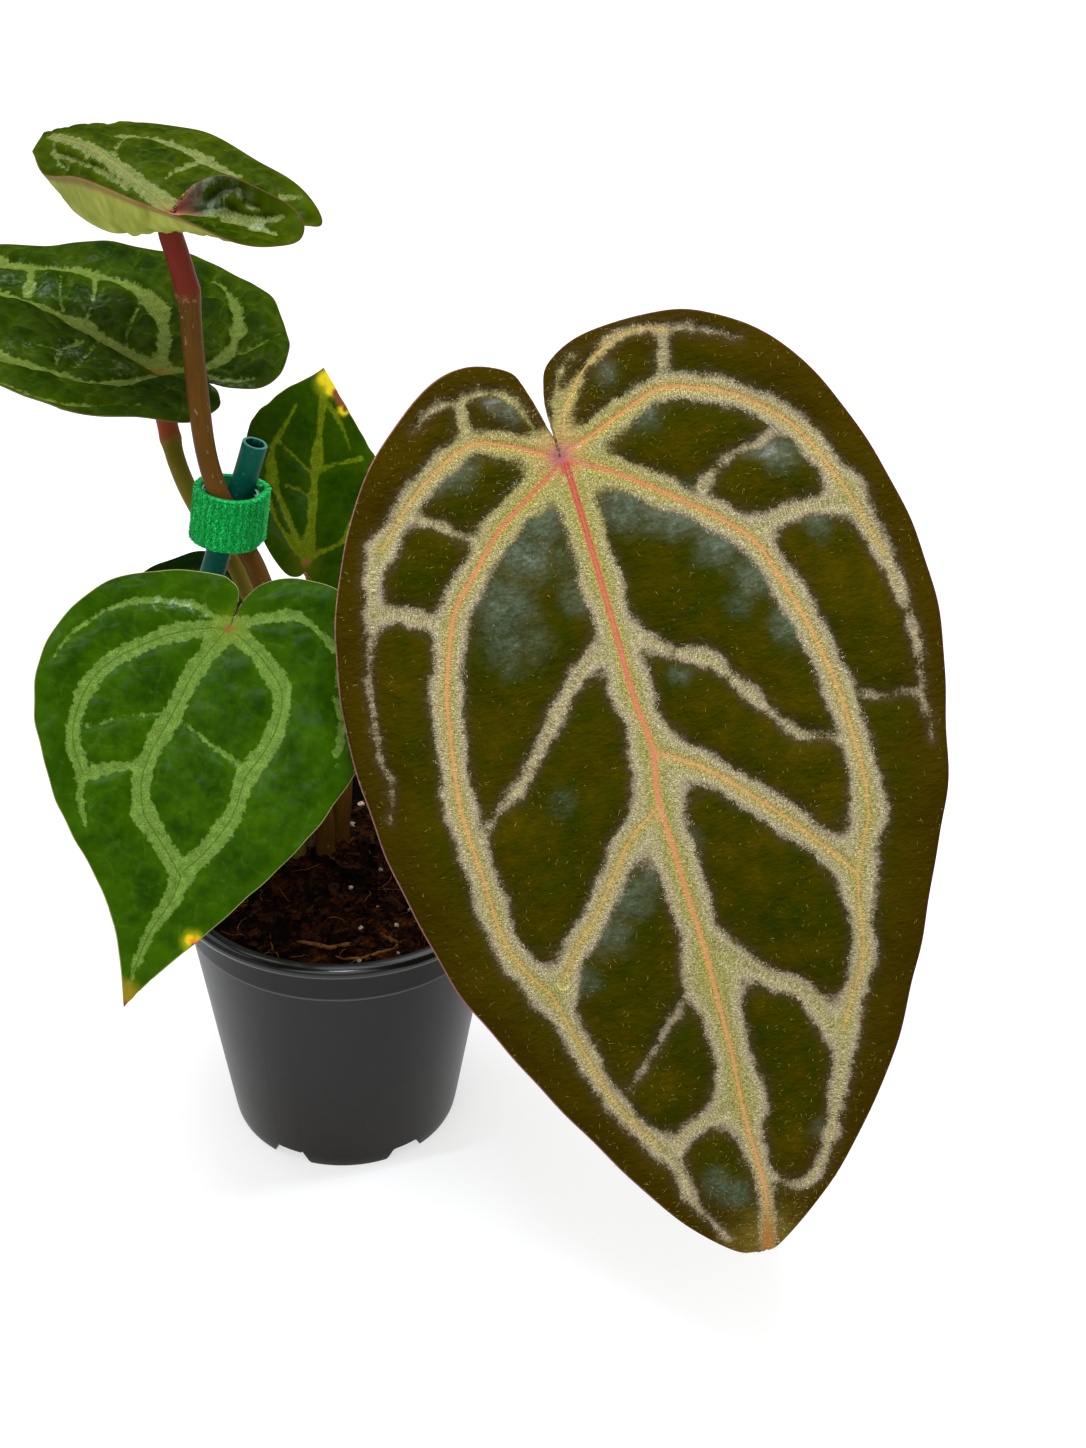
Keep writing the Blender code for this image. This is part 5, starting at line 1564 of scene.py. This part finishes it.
CROWN_SPREAD = 8.6
STALK_BASE = 72.0
STALKS = {
    "velvet": {"angle": 0, "radius": (3.2, 2.6, 2.9), "joint": 0.93, "brown": True,
               "route": [(0.5, 20, 100), (2.5, 19, 128), (10, 15.5, 152), (25, 9, 181),
                         (43, 1, 208), (55.5, -5.5, 223.5)]},
    "front": {"angle": 240, "radius": (2.9, 2.3, 2.5), "joint": 0.93, "brown": False,
              "route": [(-13.6, 12, 100), (-16, 8, 124), (-21, 0, 148), (-26.5, -9, 168)]},
    "top": {"angle": 300, "radius": (3.0, 2.8, 3.1), "joint": 0.905, "brown": True,
            "route": [(-5, 12.4, 100), (-9.5, 10.5, 132), (-14.5, 6, 162.8), (-20.8, 4, 187.4),
                      (-24.4, 3.2, 197), (-28.2, 1.7, 207.6), (-31.6, 1.5, 218), (-33.6, 1.5, 230),
                      (-34.8, 3, 248.6), (-35.2, 3, 262), (-35.4, 2.6, 270), (-37.4, 1, 281)]},
    "left": {"angle": 180, "radius": (2.9, 2.2, 2.9), "joint": 0.89, "brown": False,
             "route": [(-17.2, 20.6, 105), (-18, 20.6, 150), (-25.3, 19.8, 173.8),
                       (-28.8, 19.3, 183.7), (-33.4, 19.4, 192), (-39.6, 22.8, 203.5),
                       (-42.8, 28, 209.8), (-44.7, 33, 215.4), (-46.3, 36, 223.5)]},
    "back": {"angle": 60, "radius": (2.4, 1.9, 2.1), "joint": 0.93, "brown": False,
             "route": [(-4.4, 28.6, 100), (-4.6, 35, 124), (-5.6, 44, 146), (-6.6, 50.5, 159)]},
    "rear": {"angle": 120, "radius": (2.4, 1.9, 2.1), "joint": 0.93, "brown": False,
             "route": [(-14, 28.8, 100), (-16.2, 34, 122), (-21, 43.5, 140), (-24, 48.7, 148)]},
}


def stalk_mesh(name, stalk):
    turn = math.radians(stalk["angle"])
    foot = CROWN + Vector((CROWN_SPREAD * math.cos(turn), CROWN_SPREAD * math.sin(turn), 0))
    top = leaf_frame(LEAVES[name])
    end = [tuple(top @ Vector((0, 0, -depth))) for depth in (5.0, 0.6)]
    route = ([(foot.x, foot.y, STALK_BASE), (foot.x, foot.y, SOIL_LEVEL + 3)] + stalk["route"]
             + end)
    low, middle, high = stalk["radius"]
    joint = stalk["joint"]

    def radius_at(out):
        slim = np.interp(out, [0, 0.12, 0.5, joint - 0.02, joint, joint + 0.015, 1.0],
                         [low, low, middle, high * 0.93, high * 1.06, high * 1.0, high])
        flare = 1 + 0.12 * np.clip((out - 0.985) / 0.015, 0, 1)
        return slim * flare

    def wobble(turns, out):
        ring = 0.035 * np.exp(-((out - joint) / 0.004) ** 2)
        return ring + 0.018 * np.sin(out * 43 + 2 * np.sin(turns * 2 * np.pi))

    return welded(tube_sheet(route, radius_at, 26, 170, wobble=wobble))


def stalk_skin(name, low, high, red, joint):
    made = Surface(name, Specular_IOR_Level=0.03, Roughness=0.34)
    place = made.place()
    along, round_it, run = made.attributes("along", "round", "run")
    streak = made.grain(made.combined(round_it * 16, run * 0.06), 1.6, 4.0, 0.6)
    cloud = made.grain(place, 90.0)
    pores = made.grain(made.stretched(place, (1.0, 1.0, 0.55)), 620.0, 2.0).fades(0.72, 0.66)
    redder = (along + (streak - 0.5) * 0.03).fades(joint + 0.015, joint - 0.02)
    flesh = made.mixed(streak, red, tuple(c * 1.5 for c in red))
    scar = (along.fades(joint - 0.008, joint - 0.011) * along.fades(joint + 0.001, joint + 0.004)
            * made.grain(place, 500.0).fades(0.62, 0.52))
    colour = made.coats(made.mixed(streak * 0.6 + cloud * 0.4, low, high),
                        (pores * 0.45, (0.34, 0.24, 0.13)), (redder * 0.92, flesh),
                        (scar * 0.35, (0.30, 0.17, 0.09)))
    return made.ends_in(Base_Color=colour, Normal=made.relief(streak * 0.7 + pores, 0.18))


BROWN_STALK = ((0.040, 0.016, 0.002), (0.145, 0.066, 0.009), (0.115, 0.014, 0.009))
OLIVE_STALK = ((0.09, 0.072, 0.006), (0.20, 0.155, 0.016), (0.23, 0.042, 0.020))
for name, stalk in STALKS.items():
    tones = BROWN_STALK if stalk["brown"] else OLIVE_STALK
    dress(f"stalk_{name}", stalk_mesh(name, stalk),
          [stalk_skin(f"stalk_{name}_skin", *tones, stalk["joint"])], stands_for=f"petiole_{name}")


# Studio
# A white sweep in a bright even room. Two wide diffusers light the plant, one from above and
# behind and one from the front left, and a strip draws the line of light along the pot's rim.

sweep = bmesh.new()
bmesh.ops.create_grid(sweep, x_segments=2, y_segments=2, size=6.0)
floor = placed("studio_floor", mesh_from(sweep))
white = Surface("studio_white", Base_Color=(0.40, 0.40, 0.40), Roughness=0.9,
                Specular_IOR_Level=0.0, Emission_Color=(1, 1, 1), Emission_Strength=0.61)
floor.data.materials.append(white.material)

WALLS, AIR = 1.0, 0.50              # how bright the studio's walls look, and how much they light
sky = bpy.data.worlds.new("studio_walls")
sky.use_nodes = True
seen = sky.node_tree.nodes.new("ShaderNodeLightPath")
bright = sky.node_tree.nodes.new("ShaderNodeMapRange")
bright.inputs["To Min"].default_value = AIR
bright.inputs["To Max"].default_value = WALLS
wall = sky.node_tree.nodes["Background"]
wall.inputs["Color"].default_value = (1.0, 1.0, 1.0, 1.0)
sky.node_tree.links.new(seen.outputs["Is Camera Ray"], bright.inputs["Value"])
sky.node_tree.links.new(bright.outputs["Result"], wall.inputs["Strength"])
bpy.context.scene.world = sky


def aimed(name, kind, place, target, **settings):
    """A lamp at a place in metres, turned to face the target."""
    lamp = bpy.data.lights.new(name, kind)
    for key, value in settings.items():
        setattr(lamp, key, value)
    holder = placed(name, lamp)
    holder.location = place
    holder.rotation_euler = (Vector(target) - Vector(place)).to_track_quat("-Z", "Y").to_euler()


WIDE = math.radians(60)
aimed("overhead", "SUN", (-0.12, 0.62, 1.4), (0, 0, 0), energy=1.55, angle=WIDE)
aimed("front", "SUN", (-0.18, -0.80, 1.2), (0, 0, 0), energy=1.38, angle=WIDE)
aimed("rim_strip", "AREA", (0.05, -0.2, 1.15), (0, -0.05, 0.09), shape="RECTANGLE", size=0.7,
      size_y=0.02, energy=14.0, color=(0.85, 0.93, 1.0))

bpy.context.scene.view_settings.view_transform = "Standard"
